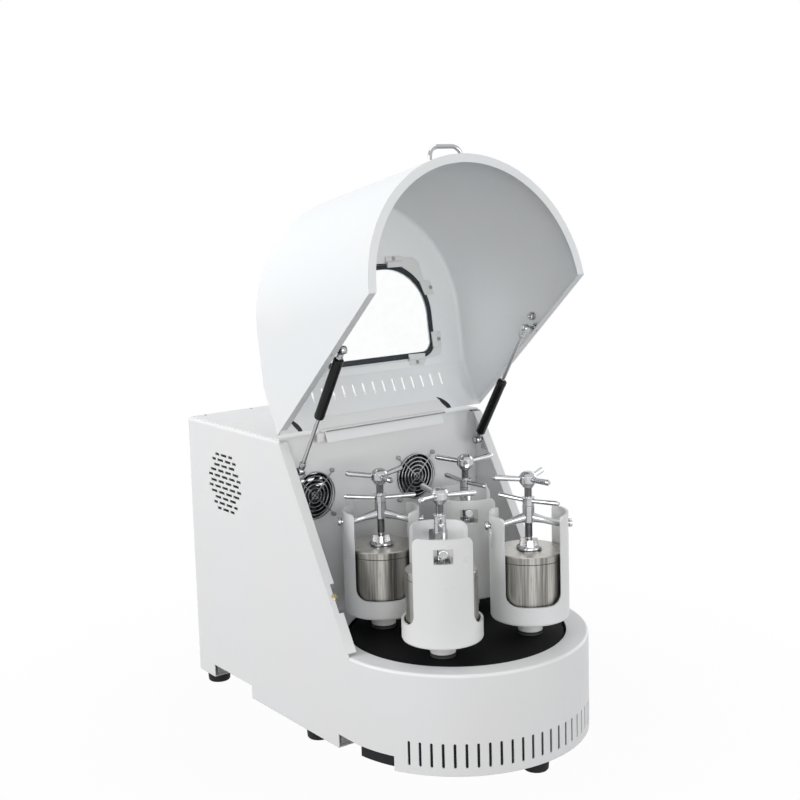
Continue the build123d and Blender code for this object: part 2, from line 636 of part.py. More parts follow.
def make_bearing_housing():
    """Flanged housing of the main shaft with its two ball bearings."""
    bore = MAIN_BEARING_RADIUS
    waist = bore - 4.0
    lower_seat = HOUSING_BOTTOM + MAIN_BEARING_WIDTH + 1.0
    upper_seat = HOUSING_TOP - MAIN_BEARING_WIDTH - 1.0
    housing = turned(
        [
            (bore, HOUSING_BOTTOM),
            (HOUSING_RADIUS, HOUSING_BOTTOM),
            (HOUSING_RADIUS, HOUSING_FLANGE_BOTTOM),
            (HOUSING_FLANGE_RADIUS, HOUSING_FLANGE_BOTTOM),
            (HOUSING_FLANGE_RADIUS, HOUSING_FLANGE_BOTTOM + 8.0),
            (HOUSING_RADIUS, HOUSING_FLANGE_BOTTOM + 8.0),
            (HOUSING_RADIUS, HOUSING_TOP),
            (bore, HOUSING_TOP),
            (bore, upper_seat),
            (waist, upper_seat),
            (waist, lower_seat),
            (bore, lower_seat),
        ],
        0,
        DRUM_Y,
    )
    solids = [housing]
    inner = SHAFT_RADIUS + BEARING_FIT
    for bottom in (HOUSING_BOTTOM + 1.0, upper_seat):
        solids.append(make_bearing(inner, bore, bottom, MAIN_BEARING_WIDTH, 0, DRUM_Y))
    return solids


def make_bearing(inner, outer, bottom, width, x, y):
    """Ball bearing as one ring with its shield recessed on both faces."""
    third = (outer - inner) / 3
    top = bottom + width
    dish = 1.0
    return turned(
        [
            (inner, bottom),
            (inner + third, bottom),
            (inner + third, bottom + dish),
            (outer - third, bottom + dish),
            (outer - third, bottom),
            (outer, bottom),
            (outer, top),
            (outer - third, top),
            (outer - third, top - dish),
            (inner + third, top - dish),
            (inner + third, top),
            (inner, top),
        ],
        x,
        y,
    )


def pulley(radius, bore, tiers, x, y):
    """Flanged belt pulley with one belt track per tier height."""
    track = BELT_WIDTH / 2 + BELT_SIDE_GAP
    side = PULLEY_FLANGE_THICKNESS
    points = [(bore, tiers[0] - track - side)]
    for height in tiers:
        points += [
            (radius + PULLEY_FLANGE, height - track - side),
            (radius + PULLEY_FLANGE, height - track),
            (radius, height - track),
            (radius, height + track),
            (radius + PULLEY_FLANGE, height + track),
            (radius + PULLEY_FLANGE, height + track + side),
        ]
        if height != tiers[-1]:
            points.append((radius - 2.0, height + track + side))
            points.append((radius - 2.0, tiers[-1] - track - side))
    points.append((bore, tiers[-1] + track + side))
    return turned(points, x, y)


def belt_loop(circles, height):
    """Flat belt round pulleys given as (x, y, radius)."""
    outline_edges = []
    inside_edges = []
    for x, y, radius in circles:
        inner = radius + BELT_GAP
        inside_edges += (Pos(x, y) * Circle(inner)).edges()
        outline_edges += (Pos(x, y) * Circle(inner + BELT_THICKNESS)).edges()
    band = make_hull(outline_edges) - make_hull(inside_edges)
    return Pos(0, 0, height - BELT_WIDTH / 2) * extrude(band, amount=BELT_WIDTH)


def make_sun_pulley():
    """Two-tier pulley that stays still on the bearing housing."""
    tiers = (LOWER_TIER_HEIGHT, UPPER_TIER_HEIGHT)
    return pulley(PULLEY_RADIUS_LARGE, HOUSING_RADIUS, tiers, 0, DRUM_Y)


def make_drive_belt():
    circles = [
        (0, DRUM_Y, PULLEY_RADIUS_LARGE),
        (0, MOTOR_Y, PULLEY_RADIUS_SMALL),
    ]
    return belt_loop(circles, LOWER_BELT_HEIGHT)


def make_planet_belts():
    """Each belt runs round the sun pulley and two opposite planets."""
    belts = []
    for start, height in ((0, LOWER_TIER_HEIGHT), (1, UPPER_TIER_HEIGHT)):
        circles = [(0, DRUM_Y, PULLEY_RADIUS_LARGE)]
        for index in (start, start + 2):
            x, y = planet_place(index)
            circles.append((x, y, PULLEY_RADIUS_SMALL))
        belts.append(belt_loop(circles, height))
    return belts


def make_drive_motor():
    """Upright finned motor on the drive plate, shaft down."""
    base = DRIVE_PLATE_BOTTOM + DRIVE_PLATE_THICKNESS
    top = base + MOTOR_LENGTH
    body = rod(MOTOR_RADIUS - 8.0, base, top - 30.0, 0, MOTOR_Y)
    flange = rod(MOTOR_RADIUS + 8.0, base, base + 11.0, 0, MOTOR_Y)
    cowl = turned(
        [
            (0, top - 34.0),
            (MOTOR_RADIUS, top - 34.0),
            (MOTOR_RADIUS, top - 8.0),
            (MOTOR_RADIUS - 10.0, top),
            (0, top),
        ],
        0,
        MOTOR_Y,
    )
    motor = body + flange + cowl
    for index in range(MOTOR_FINS):
        place = upright_at(0, MOTOR_Y, index * 360.0 / MOTOR_FINS)
        fin = block(-1.2, 1.2, -MOTOR_RADIUS, -MOTOR_RADIUS + 10.0, base + 10.0, top - 33.0)
        motor = motor + place * fin
    terminal_box = block(
        -30, 30, MOTOR_Y - MOTOR_RADIUS - 26, MOTOR_Y - MOTOR_RADIUS + 12, base + 60, base + 125
    )
    motor = motor + terminal_box
    return motor - rod(14.0, base - 1, base + 60.0, 0, MOTOR_Y)


def make_motor_pulley():
    """Motor shaft with its small pulley."""
    track = BELT_WIDTH / 2 + BELT_SIDE_GAP + PULLEY_FLANGE_THICKNESS
    shaft_radius = 9.5
    base = DRIVE_PLATE_BOTTOM + DRIVE_PLATE_THICKNESS
    wheel = pulley(PULLEY_RADIUS_SMALL, 0.0, (LOWER_BELT_HEIGHT,), 0, MOTOR_Y)
    shaft = rod(shaft_radius, LOWER_BELT_HEIGHT - track, base + 59.7, 0, MOTOR_Y)
    collar = rod(13.9, base + 20.0, base + 30.0, 0, MOTOR_Y)
    return wheel + shaft + collar


# ---- fans ----------------------------------------------------------------------------------
FAN_FRONT = WALL_SETBACK + SHEET + DRUM_Y


def make_fan_frame(x):
    """Square fan frame with a round duct and a spider that holds the hub."""
    half = FAN_SIZE / 2
    y0 = FAN_FRONT
    y1 = y0 + FAN_DEPTH
    frame = block(x - half, x + half, y0, y1, FAN_HEIGHT - half, FAN_HEIGHT + half)
    duct = deep_rod(FAN_BORE_RADIUS, y0 - 1, y1 + 1, x, FAN_HEIGHT)
    frame = frame - duct
    seat = deep_rod(FAN_HUB_RADIUS, y1 - 4.0, y1, x, FAN_HEIGHT)
    for angle in (45.0, 135.0):
        arm = Box(2 * FAN_BORE_RADIUS + 2, 3.0, 5.0)
        seat = seat + Pos(x, y1 - 1.5, FAN_HEIGHT) * Rot(0, angle, 0) * arm
    frame = frame + seat
    for dx in (-1, 1):
        for dz in (-1, 1):
            hole_x = x + dx * FAN_SCREW_SPACING / 2
            hole_z = FAN_HEIGHT + dz * FAN_SCREW_SPACING / 2
            frame = frame - deep_rod(2.2, y0 - 1, y1 + 1, hole_x, hole_z)
    return frame


def make_fan_rotor(x):
    """Fan hub with pitched blades, on a stub shaft that runs in the frame's seat."""
    y0 = FAN_FRONT + 2.0
    y1 = FAN_FRONT + FAN_DEPTH - 4.0 - RUNNING_GAP
    rotor = deep_rod(FAN_HUB_RADIUS, y0, y1, x, FAN_HEIGHT)
    blade_reach = FAN_BORE_RADIUS - 1.5
    for index in range(FAN_BLADES):
        blade = Box(blade_reach - FAN_HUB_RADIUS + 3.0, 1.6, 19.0)
        blade = Pos((blade_reach + FAN_HUB_RADIUS - 3.0) / 2, 0, 0) * Rot(48.0, 0, 0) * blade
        spin = Rot(0, index * 360.0 / FAN_BLADES, 0)
        rotor = rotor + Pos(x, (y0 + y1) / 2, FAN_HEIGHT) * spin * blade
    limit = deep_rod(blade_reach, y0, y1, x, FAN_HEIGHT)
    return rotor & limit


def make_fan_guard(x):
    """Wire guard: rings joined by two crossed wires that end in eyes at the screws."""
    y0 = WALL_Y - GUARD_STAND_OFF - GUARD_WIRE
    y1 = WALL_Y - GUARD_STAND_OFF
    guard = None
    for index in range(GUARD_RINGS):
        radius = GUARD_OUTER_RADIUS * (index + 1) / GUARD_RINGS
        outer = deep_rod(radius, y0, y1, x, FAN_HEIGHT)
        ring = outer - deep_rod(radius - GUARD_WIRE, y0 - 1, y1 + 1, x, FAN_HEIGHT)
        guard = ring if guard is None else guard + ring
    reach = FAN_SCREW_SPACING / math.sqrt(2)
    for angle in (45.0, 135.0):
        wire = Box(2 * reach, GUARD_WIRE, GUARD_WIRE)
        guard = guard + Pos(x, (y0 + y1) / 2, FAN_HEIGHT) * Rot(0, angle, 0) * wire
    for dx in (-1, 1):
        for dz in (-1, 1):
            eye_x = x + dx * FAN_SCREW_SPACING / 2
            eye_z = FAN_HEIGHT + dz * FAN_SCREW_SPACING / 2
            guard = guard + deep_rod(4.0, y0, WALL_Y, eye_x, eye_z)
    return guard


# ---- turntable -----------------------------------------------------------------------------
BOSS_RADIUS = PLANET_BEARING_RADIUS + 8.0
BOSS_BOTTOM = TABLE_TOP - 2 * PLANET_BEARING_WIDTH - 6.0


def make_turntable():
    """Round black table with a bearing boss under each planet and stiffening ribs."""
    edge = 2.0
    table = turned(
        [
            (0, TABLE_BOTTOM),
            (TABLE_RADIUS - edge, TABLE_BOTTOM),
            (TABLE_RADIUS, TABLE_BOTTOM + edge),
            (TABLE_RADIUS, TABLE_TOP - edge),
            (TABLE_RADIUS - edge, TABLE_TOP),
            (0, TABLE_TOP),
        ],
        0,
        DRUM_Y,
    )
    lip = SHOULDER_RADIUS + SHOULDER_GAP
    for index in range(PLANET_COUNT):
        x, y = planet_place(index)
        table = table + rod(BOSS_RADIUS, BOSS_BOTTOM, TABLE_BOTTOM + 1, x, y)
        table = table - rod(PLANET_BEARING_RADIUS, BOSS_BOTTOM - 1, TABLE_TOP - TABLE_LIP, x, y)
        table = table - rod(lip, BOSS_BOTTOM, TABLE_TOP + 1, x, y)
    table = table - rod(SHAFT_RADIUS, TABLE_BOTTOM - 1, TABLE_TOP + 1, 0, DRUM_Y)
    return table


def make_planet_bearings():
    """Two ball bearings in each boss, the upper one against the table's lip."""
    rings = []
    inner = SPINDLE_RADIUS + BEARING_FIT
    upper = TABLE_TOP - TABLE_LIP - PLANET_BEARING_WIDTH
    for index in range(PLANET_COUNT):
        x, y = planet_place(index)
        for bottom in (BOSS_BOTTOM + 2.0, upper):
            ring = make_bearing(inner, PLANET_BEARING_RADIUS, bottom, PLANET_BEARING_WIDTH, x, y)
            rings.append(ring)
    return rings


def make_main_shaft():
    """Main shaft with the driven pulley at its foot and the clamping cap on the table."""
    track = BELT_WIDTH / 2 + BELT_SIDE_GAP + PULLEY_FLANGE_THICKNESS
    low = LOWER_BELT_HEIGHT - track
    shaft = rod(SHAFT_RADIUS, low, TABLE_TOP + 1, 0, DRUM_Y)
    shoulder = rod(SHAFT_RADIUS + 7.0, HOUSING_TOP + 2.0, TABLE_BOTTOM, 0, DRUM_Y)
    cap = turned(
        [
            (0, TABLE_TOP),
            (38.0, TABLE_TOP),
            (38.0, TABLE_TOP + 7.0),
            (35.0, TABLE_TOP + 10.0),
            (0, TABLE_TOP + 10.0),
        ],
        0,
        DRUM_Y,
    )
    wheel = pulley(PULLEY_RADIUS_LARGE, SHAFT_RADIUS - 1.0, (LOWER_BELT_HEIGHT,), 0, DRUM_Y)
    for index in range(5):
        azimuth = math.radians(index * 72.0)
        x = 51.0 * math.sin(azimuth)
        y = DRUM_Y - 51.0 * math.cos(azimuth)
        wheel = wheel - rod(17.0, low - 1, low + 2 * track + 1, x, y)
    return shaft + shoulder + cap + wheel


# ---- one planet ----------------------------------------------------------------------------
def make_jar_holder():
    """Painted steel cup with two tall arms, each with a window for the clamp beam."""
    inner = HOLDER_RADIUS - HOLDER_WALL
    floor = HOLDER_BOTTOM + HOLDER_FLOOR
    cup = turned(
        [
            (0, HOLDER_BOTTOM),
            (HOLDER_RADIUS - HOLDER_FOOT_RADIUS, HOLDER_BOTTOM),
            (HOLDER_RADIUS - HOLDER_FOOT_RADIUS * 0.3, HOLDER_BOTTOM + HOLDER_FOOT_RADIUS * 0.3),
            (HOLDER_RADIUS, HOLDER_BOTTOM + HOLDER_FOOT_RADIUS),
            (HOLDER_RADIUS, HOLDER_ARM_TOP),
            (inner, HOLDER_ARM_TOP),
            (inner, floor),
            (0, floor),
        ]
    )
    # The arms point along local Y, so the gaps are cut along X to Y's sides.
    gap_height = HOLDER_ARM_TOP - HOLDER_CUP_TOP + 40.0
    gap_plan = RectangleRounded(2 * HOLDER_GAP_HALF_WIDTH, gap_height, HOLDER_GAP_CORNER)
    gap = extrude(Plane.YZ * gap_plan, amount=HOLDER_RADIUS + 5.0, both=True)
    cup = cup - Pos(0, 0, HOLDER_CUP_TOP + gap_height / 2) * gap
    # Rounded upper corners of the arms.
    arm_half = math.sqrt(HOLDER_RADIUS**2 - HOLDER_GAP_HALF_WIDTH**2)
    corner = HOLDER_ARM_CORNER
    square = block(
        arm_half - corner, arm_half + 5, -HOLDER_RADIUS - 5, HOLDER_RADIUS + 5,
        HOLDER_ARM_TOP - corner, HOLDER_ARM_TOP + 1
    )
    round_bar = deep_rod(
        corner, -HOLDER_RADIUS - 6, HOLDER_RADIUS + 6, arm_half - corner, HOLDER_ARM_TOP - corner
    )
    nibble = square - round_bar
    cup = cup - nibble - Rot(0, 0, 180) * nibble
    window = Box(ARM_WINDOW_WIDTH, 2 * HOLDER_RADIUS + 10, ARM_WINDOW_HEIGHT)
    cup = cup - Pos(0, 0, ARM_WINDOW_TOP - ARM_WINDOW_HEIGHT / 2) * window
    return cup


def make_spindle(tier_height):
    """Planet spindle with the collar under the holder and the belt pulley at its foot."""
    track = BELT_WIDTH / 2 + BELT_SIDE_GAP + PULLEY_FLANGE_THICKNESS
    shaft = rod(SPINDLE_RADIUS, tier_height - track, COLLAR_BOTTOM + 1)
    shoulder_bottom = TABLE_TOP - TABLE_LIP + RUNNING_GAP
    collar = turned(
        [
            (0, shoulder_bottom),
            (SHOULDER_RADIUS, shoulder_bottom),
            (SHOULDER_RADIUS, COLLAR_BOTTOM),
            (COLLAR_RADIUS, COLLAR_BOTTOM),
            (COLLAR_RADIUS, HOLDER_BOTTOM),
            (0, HOLDER_BOTTOM),
        ]
    )
    wheel = pulley(PULLEY_RADIUS_SMALL, SPINDLE_RADIUS - 1.0, (tier_height,), 0, 0)
    return shaft + collar + wheel


JAR_BOTTOM = HOLDER_BOTTOM + HOLDER_FLOOR
JAR_TOP = JAR_BOTTOM + JAR_HEIGHT
JAR_LID_TOP = JAR_TOP + JAR_LID_THICKNESS
JAR_HUB_TOP = JAR_LID_TOP + JAR_HUB_HEIGHT


def make_grinding_jar():
    """Turned steel jar with a plug lid; the lid's hub has four lugs."""
    bore = JAR_RADIUS - JAR_WALL
    jar = turned(
        [
            (0, JAR_BOTTOM),
            (JAR_RADIUS - JAR_EDGE, JAR_BOTTOM),
            (JAR_RADIUS, JAR_BOTTOM + JAR_EDGE),
            (JAR_RADIUS, JAR_TOP),
            (bore, JAR_TOP),
            (bore, JAR_BOTTOM + JAR_WALL + 10.0),
            (bore - 10.0, JAR_BOTTOM + JAR_WALL),
            (0, JAR_BOTTOM + JAR_WALL),
        ]
    )
    plug = bore - 0.1
    lid = turned(
        [
            (0, JAR_TOP - 6.0),
            (plug, JAR_TOP - 6.0),
            (plug, JAR_TOP + SEAT_GAP),
            (JAR_RADIUS - 0.8, JAR_TOP + SEAT_GAP),
            (JAR_RADIUS, JAR_TOP + 1.2),
            (JAR_RADIUS, JAR_LID_TOP - JAR_EDGE),
            (JAR_RADIUS - JAR_EDGE, JAR_LID_TOP),
            (JAR_HUB_RADIUS, JAR_LID_TOP),
            (JAR_HUB_RADIUS, JAR_LID_TOP + 3.0),
            (JAR_HUB_TOP_RADIUS, JAR_HUB_TOP),
            (0, JAR_HUB_TOP),
        ]
    )
    lug = JAR_LUG_HALF_WIDTH
    reach = JAR_HUB_RADIUS + 2
    for quarter in range(4):
        notch = block(lug, reach, lug, reach, JAR_LID_TOP, JAR_HUB_TOP + 1)
        lid = lid - Rot(0, 0, 90.0 * quarter) * notch
    return [jar, lid]


def make_clamp_beam():
    """Cast beam: bored hub and two round arms that sweep down and out through the arm windows."""
    level = ARM_WINDOW_TOP - BEAM_ARM_RADIUS
    knob_start = HOLDER_RADIUS + BEAM_KNOB_GAP
    path = FilletPolyline(
        (0, 0, BEAM_ARM_HEIGHT),
        (0, BEAM_ARM_BEND, level),
        (0, knob_start + 1.0, level),
        radius=BEAM_BEND_RADIUS,
    )
    start = Plane(origin=path @ 0, z_dir=path % 0)
    arm = sweep(start * Circle(BEAM_ARM_RADIUS), path)
    root = Cone(BEAM_ROOT_RADIUS, BEAM_ARM_RADIUS, BEAM_ROOT_LENGTH)
    arm = arm + start * Pos(0, 0, BEAM_ROOT_LENGTH / 2) * root
    knob = deep_rod(BEAM_KNOB_RADIUS, knob_start, BEAM_END, 0, level)
    knob = fillet(knob.edges().filter_by(GeomType.CIRCLE), 1.5)
    arm = arm + knob
    beam = rod(BEAM_HUB_RADIUS, BEAM_HUB_BOTTOM, BEAM_HUB_TOP) + arm + Rot(0, 0, 180) * arm
    return beam - rod(SCREW_RADIUS + SCREW_FIT, BEAM_HUB_BOTTOM - 5, BEAM_HUB_TOP + 5)


def star_arm(radius, length, height, tilt):
    """Round-ended tapered arm along local -Y, rising towards its end."""
    taper = 0.8
    outline = Polyline(
        (0, 0),
        (radius * taper, 0),
        (radius, -length + radius * 0.8),
        (radius * 0.6, -length),
        (0, -length),
        close=True,
    )
    arm = revolve(make_face(outline), Axis.Y)
    return Pos(0, 0, height) * Rot(-tilt, 0, 0) * arm


def make_clamp_screw(star_angle):
    """Clamp screw with its three-armed star handle and the thrust pad at its foot."""
    screw = rod(SCREW_RADIUS, JAR_HUB_TOP + RUNNING_GAP, STAR_BOTTOM + 5.0)
    top = STAR_BOTTOM + STAR_HEIGHT
    hub = turned(
        [
            (0, STAR_BOTTOM),
            (SCREW_RADIUS + 2.5, STAR_BOTTOM),
            (STAR_HUB_RADIUS, STAR_BOTTOM + 9.0),
            (STAR_HUB_RADIUS, top - 8.0),
            (STAR_HUB_RADIUS - 3.0, top - 3.0),
            (STAR_HUB_RADIUS - 8.0, top),
            (0, top),
        ]
    )
    handle = screw + hub
    middle = STAR_BOTTOM + STAR_HEIGHT / 2
    arm = star_arm(STAR_ARM_RADIUS, STAR_ARM_LENGTH, middle, STAR_ARM_TILT)
    for index in range(STAR_ARMS):
        handle = handle + Rot(0, 0, star_angle + 360.0 / STAR_ARMS * index) * arm
    return handle


def make_lock_nut(nut_angle):
    """Lock nut with two thin arms, on top of the beam's hub."""
    low = BEAM_HUB_TOP + RUNNING_GAP
    top = low + NUT_HEIGHT
    nut = turned(
        [
            (0, low),
            (NUT_RADIUS, low),
            (NUT_RADIUS, top - 3.0),
            (NUT_RADIUS + 1.5, top - 2.0),
            (NUT_RADIUS + 1.5, top),
            (0, top),
        ]
    )
    arm = star_arm(NUT_ARM_RADIUS, NUT_ARM_LENGTH, low + NUT_HEIGHT * 0.55, NUT_ARM_TILT)
    for index in range(NUT_ARMS):
        nut = nut + Rot(0, 0, nut_angle + 360.0 / NUT_ARMS * index) * arm
    return nut - rod(SCREW_RADIUS + SCREW_FIT, low - 1, top + 1)


# ---- hood ----------------------------------------------------------------------------------
def sloped(shape):
    """Tip a piece drawn under a level top to the slope of the hood's top, about its bend."""
    bend = Axis((0, LID_BEND_Y, LID_TOP_HEIGHT), (1, 0, 0))
    return shape.rotate(bend, LID_FRONT_DEG)


def hood_solid(inset, rear_y):
    """Closed hood as a full solid: round front, rounded upper edges, top bent at the rear."""
    radius = HALF - inset
    edge_radius = LID_EDGE_RADIUS - inset
    top = LID_TOP_HEIGHT - inset
    low = RIM_HEIGHT + LID_GAP
    front_y = LID_Y - HALF
    fall = math.tan(math.radians(LID_FRONT_DEG))
    front_z = top - fall * (LID_BEND_Y - front_y)
    rear_z = top + fall * (rear_y - LID_BEND_Y)
    upright = drum_prism(radius, rear_y, low, rear_z + SHEET, LID_Y)
    slab = [(front_y - 1, front_z - fall), (rear_y, rear_z), (rear_y, rear_z + FAR)]
    slab += [(front_y - 1, rear_z + FAR)]
    front_part = upright - side_profile(slab, -HALF - 1, HALF + 1)
    upper = front_part.faces().sort_by(Axis.Z)[-1].edges()
    rear_edge = upper.sort_by(Axis.Y)[-1]
    rounded = [edge for edge in upper if edge != rear_edge]
    front_part = fillet(rounded, edge_radius)
    # The rear part's own slope, carried on to the front, cuts the first one at the bend.
    rise = LID_REAR_FALL * (LID_BEND_Y - front_y)
    behind = top - LID_REAR_FALL * (rear_y - LID_BEND_Y)
    outline = [(front_y - 1, low - 1), (rear_y, low - 1), (rear_y, behind)]
    outline += [(front_y - 1, top + rise + LID_REAR_FALL)]
    rear_part = side_profile(outline, -radius, radius)
    upper = rear_part.faces().sort_by(Axis.Z)[-1].edges().filter_by(Axis.X, reverse=True)
    rear_part = fillet(upper, edge_radius)
    return front_part & rear_part


def make_lid_shell():
    """Hood of bent sheet: top with window and vents, round front wall, folded lower edges."""
    hood = hood_solid(0.0, LID_REAR_Y) - hood_solid(SHEET, LID_REAR_Y + 0.01)
    # The hood's lower edge runs along the cabinet's slanted edge.
    foot, head = slanted_line(LID_GAP)
    past = (head[0] + head[0] - foot[0], head[1] + head[1] - foot[1])
    points = [foot, past, (FAR, past[1]), (FAR, 0.0), (foot[0], 0.0)]
    below = side_profile(points, -HALF - 1, HALF + 1)
    hinge_side = block(-HALF - 1, HALF + 1, -FAR, FAR, 0, HINGE_HEIGHT - 1.0)
    hood = hood - (below & hinge_side)
    rim_low = RIM_HEIGHT + LID_GAP
    rim_top = rim_low + SHEET
    rim = drum_prism(HALF - SHEET / 2, LID_Y + 1.0, rim_low, rim_top, LID_Y)
    rim = rim - rod(HALF - LID_RIM_WIDTH, rim_low - 1, rim_top + 1, 0, LID_Y)
    hood = hood + (rim & block(-HALF, HALF, LID_Y - HALF, foot[0], rim_low, rim_top))
    for side in (-1, 1):
        inner_x = side * (INNER - LID_SIDE_FLANGE)
        wall_x = side * (INNER + SHEET / 2)
        x0, x1 = sorted((inner_x, wall_x))
        hood = hood + slant_strip(LID_GAP + SHEET, SHEET, x0, x1, 2.0, 14.0)
    hood = hood - sloped(window_prism(0.0, LID_TOP_HEIGHT - 3 * SHEET, LID_TOP_HEIGHT + SHEET))
    vent = extrude(SlotOverall(VENT_LENGTH, VENT_WIDTH, rotation=90), amount=8 * SHEET, both=True)
    for index in range(VENT_COUNT):
        x = (index - (VENT_COUNT - 1) / 2) * VENT_PITCH + VENT_SHIFT
        hood = hood - Pos(x, DRUM_Y + VENT_CENTRE_SETBACK, LID_TOP_HEIGHT - 4 * SHEET) * vent
    return opened(hood)


def window_outline(offset):
    """Window outline in plan, grown by an offset: wide front corners, tighter rear corners."""
    half = WINDOW_HALF_WIDTH + offset
    front = DRUM_Y + WINDOW_FRONT - offset
    rear = DRUM_Y + WINDOW_REAR + offset
    outline = Polyline((-half, rear), (-half, front), (half, front), (half, rear), close=True)
    face = make_face(outline)
    front_corners = face.vertices().sort_by(Axis.Y)[:2]
    face = fillet(front_corners, WINDOW_FRONT_RADIUS + offset)
    rear_corners = face.vertices().sort_by(Axis.Y)[-2:]
    return fillet(rear_corners, WINDOW_REAR_RADIUS + offset)


def window_prism(offset, z0, z1):
    """Upright prism of the window outline."""
    return Pos(0, 0, z0) * extrude(window_outline(offset), amount=z1 - z0)


def make_lid_window():
    """Clear pane under the hood's top sheet."""
    top = LID_TOP_HEIGHT - SHEET
    return opened(sloped(window_prism(PANE_LAP, top - PANE_THICKNESS, top)))


def make_window_gasket():
    """Rubber frame round the pane."""
    top = LID_TOP_HEIGHT - SHEET
    clear = PANE_LAP + RUNNING_GAP / 2
    frame = window_prism(clear + GASKET_WIDTH, top - GASKET_THICKNESS, top)
    frame = frame - window_prism(clear, top - GASKET_THICKNESS - 1, top + 1)
    lap = window_prism(clear + 1.0, top - GASKET_THICKNESS, top - PANE_THICKNESS - 0.1)
    lap = lap - window_prism(0.5, top - GASKET_THICKNESS - 1, top)
    return opened(sloped(frame + lap))


def make_lid_handle():
    """Chrome bow handle on the hood's front wall."""
    front = LID_Y - HALF
    wall_y = LID_Y - math.sqrt(HALF**2 - HANDLE_HALF_SPAN**2)
    reach = front - HANDLE_REACH + HANDLE_BAR_RADIUS
    path = FilletPolyline(
        (-HANDLE_HALF_SPAN, wall_y, HANDLE_HEIGHT),
        (-HANDLE_HALF_SPAN + HANDLE_SPLAY, reach, HANDLE_HEIGHT),
        (HANDLE_HALF_SPAN - HANDLE_SPLAY, reach, HANDLE_HEIGHT),
        (HANDLE_HALF_SPAN, wall_y, HANDLE_HEIGHT),
        radius=HANDLE_BEND_RADIUS,
    )
    start = Plane(origin=path @ 0, z_dir=path % 0)
    bow = sweep(start * Circle(HANDLE_BAR_RADIUS), path)
    bow = bow - rod(HALF, HANDLE_HEIGHT - 20, HANDLE_HEIGHT + 20, 0, LID_Y)
    return opened(bow)


def hinge_knuckles(first):
    """Every second knuckle of the long hinge, bored for the pin."""
    pitch = HINGE_LENGTH / HINGE_KNUCKLES
    barrel = None
    for index in range(first, HINGE_KNUCKLES, 2):
        x0 = -HINGE_LENGTH / 2 + index * pitch + RUNNING_GAP / 2
        x1 = x0 + pitch - RUNNING_GAP
        knuckle = cross_rod(HINGE_BARREL_RADIUS, x0, x1, HINGE_Y, HINGE_HEIGHT)
        barrel = knuckle if barrel is None else barrel + knuckle
    return barrel


def hinge_bore(radius):
    return cross_rod(radius, -HINGE_LENGTH, HINGE_LENGTH, HINGE_Y, HINGE_HEIGHT)


def make_hinge_base_leaf():
    """Hinge leaf screwed to the cabinet's top, with its knuckles."""
    half = HINGE_LENGTH / 2 - 0.2
    leaf = block(
        -half, half, HINGE_Y + 0.5, HINGE_Y + 22.0, COVER_TOP, COVER_TOP + HINGE_LEAF_THICKNESS
    )
    pitch = HINGE_LENGTH / HINGE_KNUCKLES
    clear = HINGE_BARREL_RADIUS + RUNNING_GAP
    for index in range(1, HINGE_KNUCKLES, 2):
        x0 = -HINGE_LENGTH / 2 + index * pitch - 0.3
        leaf = leaf - block(
            x0, x0 + pitch + 0.6, HINGE_Y - 5, HINGE_Y + clear, COVER_TOP - 1, COVER_TOP + 9
        )
    barrel = hinge_knuckles(0)
    barrel = barrel & block(-half - 9, half + 9, HINGE_Y - 9, HINGE_Y + 9, COVER_TOP, 2000)
    return (leaf + barrel) - hinge_bore(HINGE_PIN_RADIUS + 0.05)


def make_hinge_lid_leaf():
    """Hinge leaf under the hood's rear edge, with its knuckles and the pin."""
    half = HINGE_LENGTH / 2 - 0.2
    front_y = HINGE_Y - 24.0
    rear_y = HINGE_Y - 0.5
    front_z = LID_TOP_HEIGHT - SHEET - LID_REAR_FALL * (front_y - LID_BEND_Y)
    rear_z = LID_TOP_HEIGHT - SHEET - LID_REAR_FALL * (rear_y - LID_BEND_Y)
    points = [(front_y, front_z), (rear_y, rear_z)]
    points += [(y, z - HINGE_LEAF_THICKNESS) for y, z in reversed(points)]
    leaf = side_profile(points, -half, half)
    pitch = HINGE_LENGTH / HINGE_KNUCKLES
    clear = HINGE_BARREL_RADIUS + RUNNING_GAP
    for index in range(0, HINGE_KNUCKLES, 2):
        x0 = -HINGE_LENGTH / 2 + index * pitch - 0.3
        near_pin = Pos(x0 + pitch / 2 + 0.3, HINGE_Y, HINGE_HEIGHT) * Box(
            pitch + 0.6, 2 * clear, 4 * clear
        )
        leaf = leaf - near_pin
    leaf = (leaf + hinge_knuckles(1)) - hinge_bore(HINGE_PIN_RADIUS)
    pin = cross_rod(HINGE_PIN_RADIUS, -half, half, HINGE_Y, HINGE_HEIGHT)
    return [opened(leaf), opened(pin)]


# ---- gas struts ----------------------------------------------------------------------------
def swung_open(y, z):
    """Where a point (y, z) of the closed hood lies with the hood open."""
    turn = math.radians(-LID_OPEN_DEG)
    dy = y - HINGE_Y
    dz = z - HINGE_HEIGHT
    open_y = HINGE_Y + dy * math.cos(turn) - dz * math.sin(turn)
    return open_y, HINGE_HEIGHT + dy * math.sin(turn) + dz * math.cos(turn)


STRUT_BASE_Y, STRUT_BASE_HEIGHT = beside_slant(STRUT_BASE_ALONG, -STRUT_BASE_BELOW)
STRUT_LID_Y, STRUT_LID_HEIGHT = swung_open(*beside_slant(STRUT_LID_ALONG, STRUT_LID_ABOVE))
STRUT_LENGTH = math.hypot(STRUT_LID_Y - STRUT_BASE_Y, STRUT_LID_HEIGHT - STRUT_BASE_HEIGHT)
STRUT_DEG = math.degrees(
    math.atan2(STRUT_LID_HEIGHT - STRUT_BASE_HEIGHT, STRUT_LID_Y - STRUT_BASE_Y)
)


def strut_place(side):
    """Place at the lower ball whose local +Z runs up the strut."""
    return Pos(side * STRUT_SIDE, STRUT_BASE_Y, STRUT_BASE_HEIGHT) * Rot(STRUT_DEG - 90.0, 0, 0)


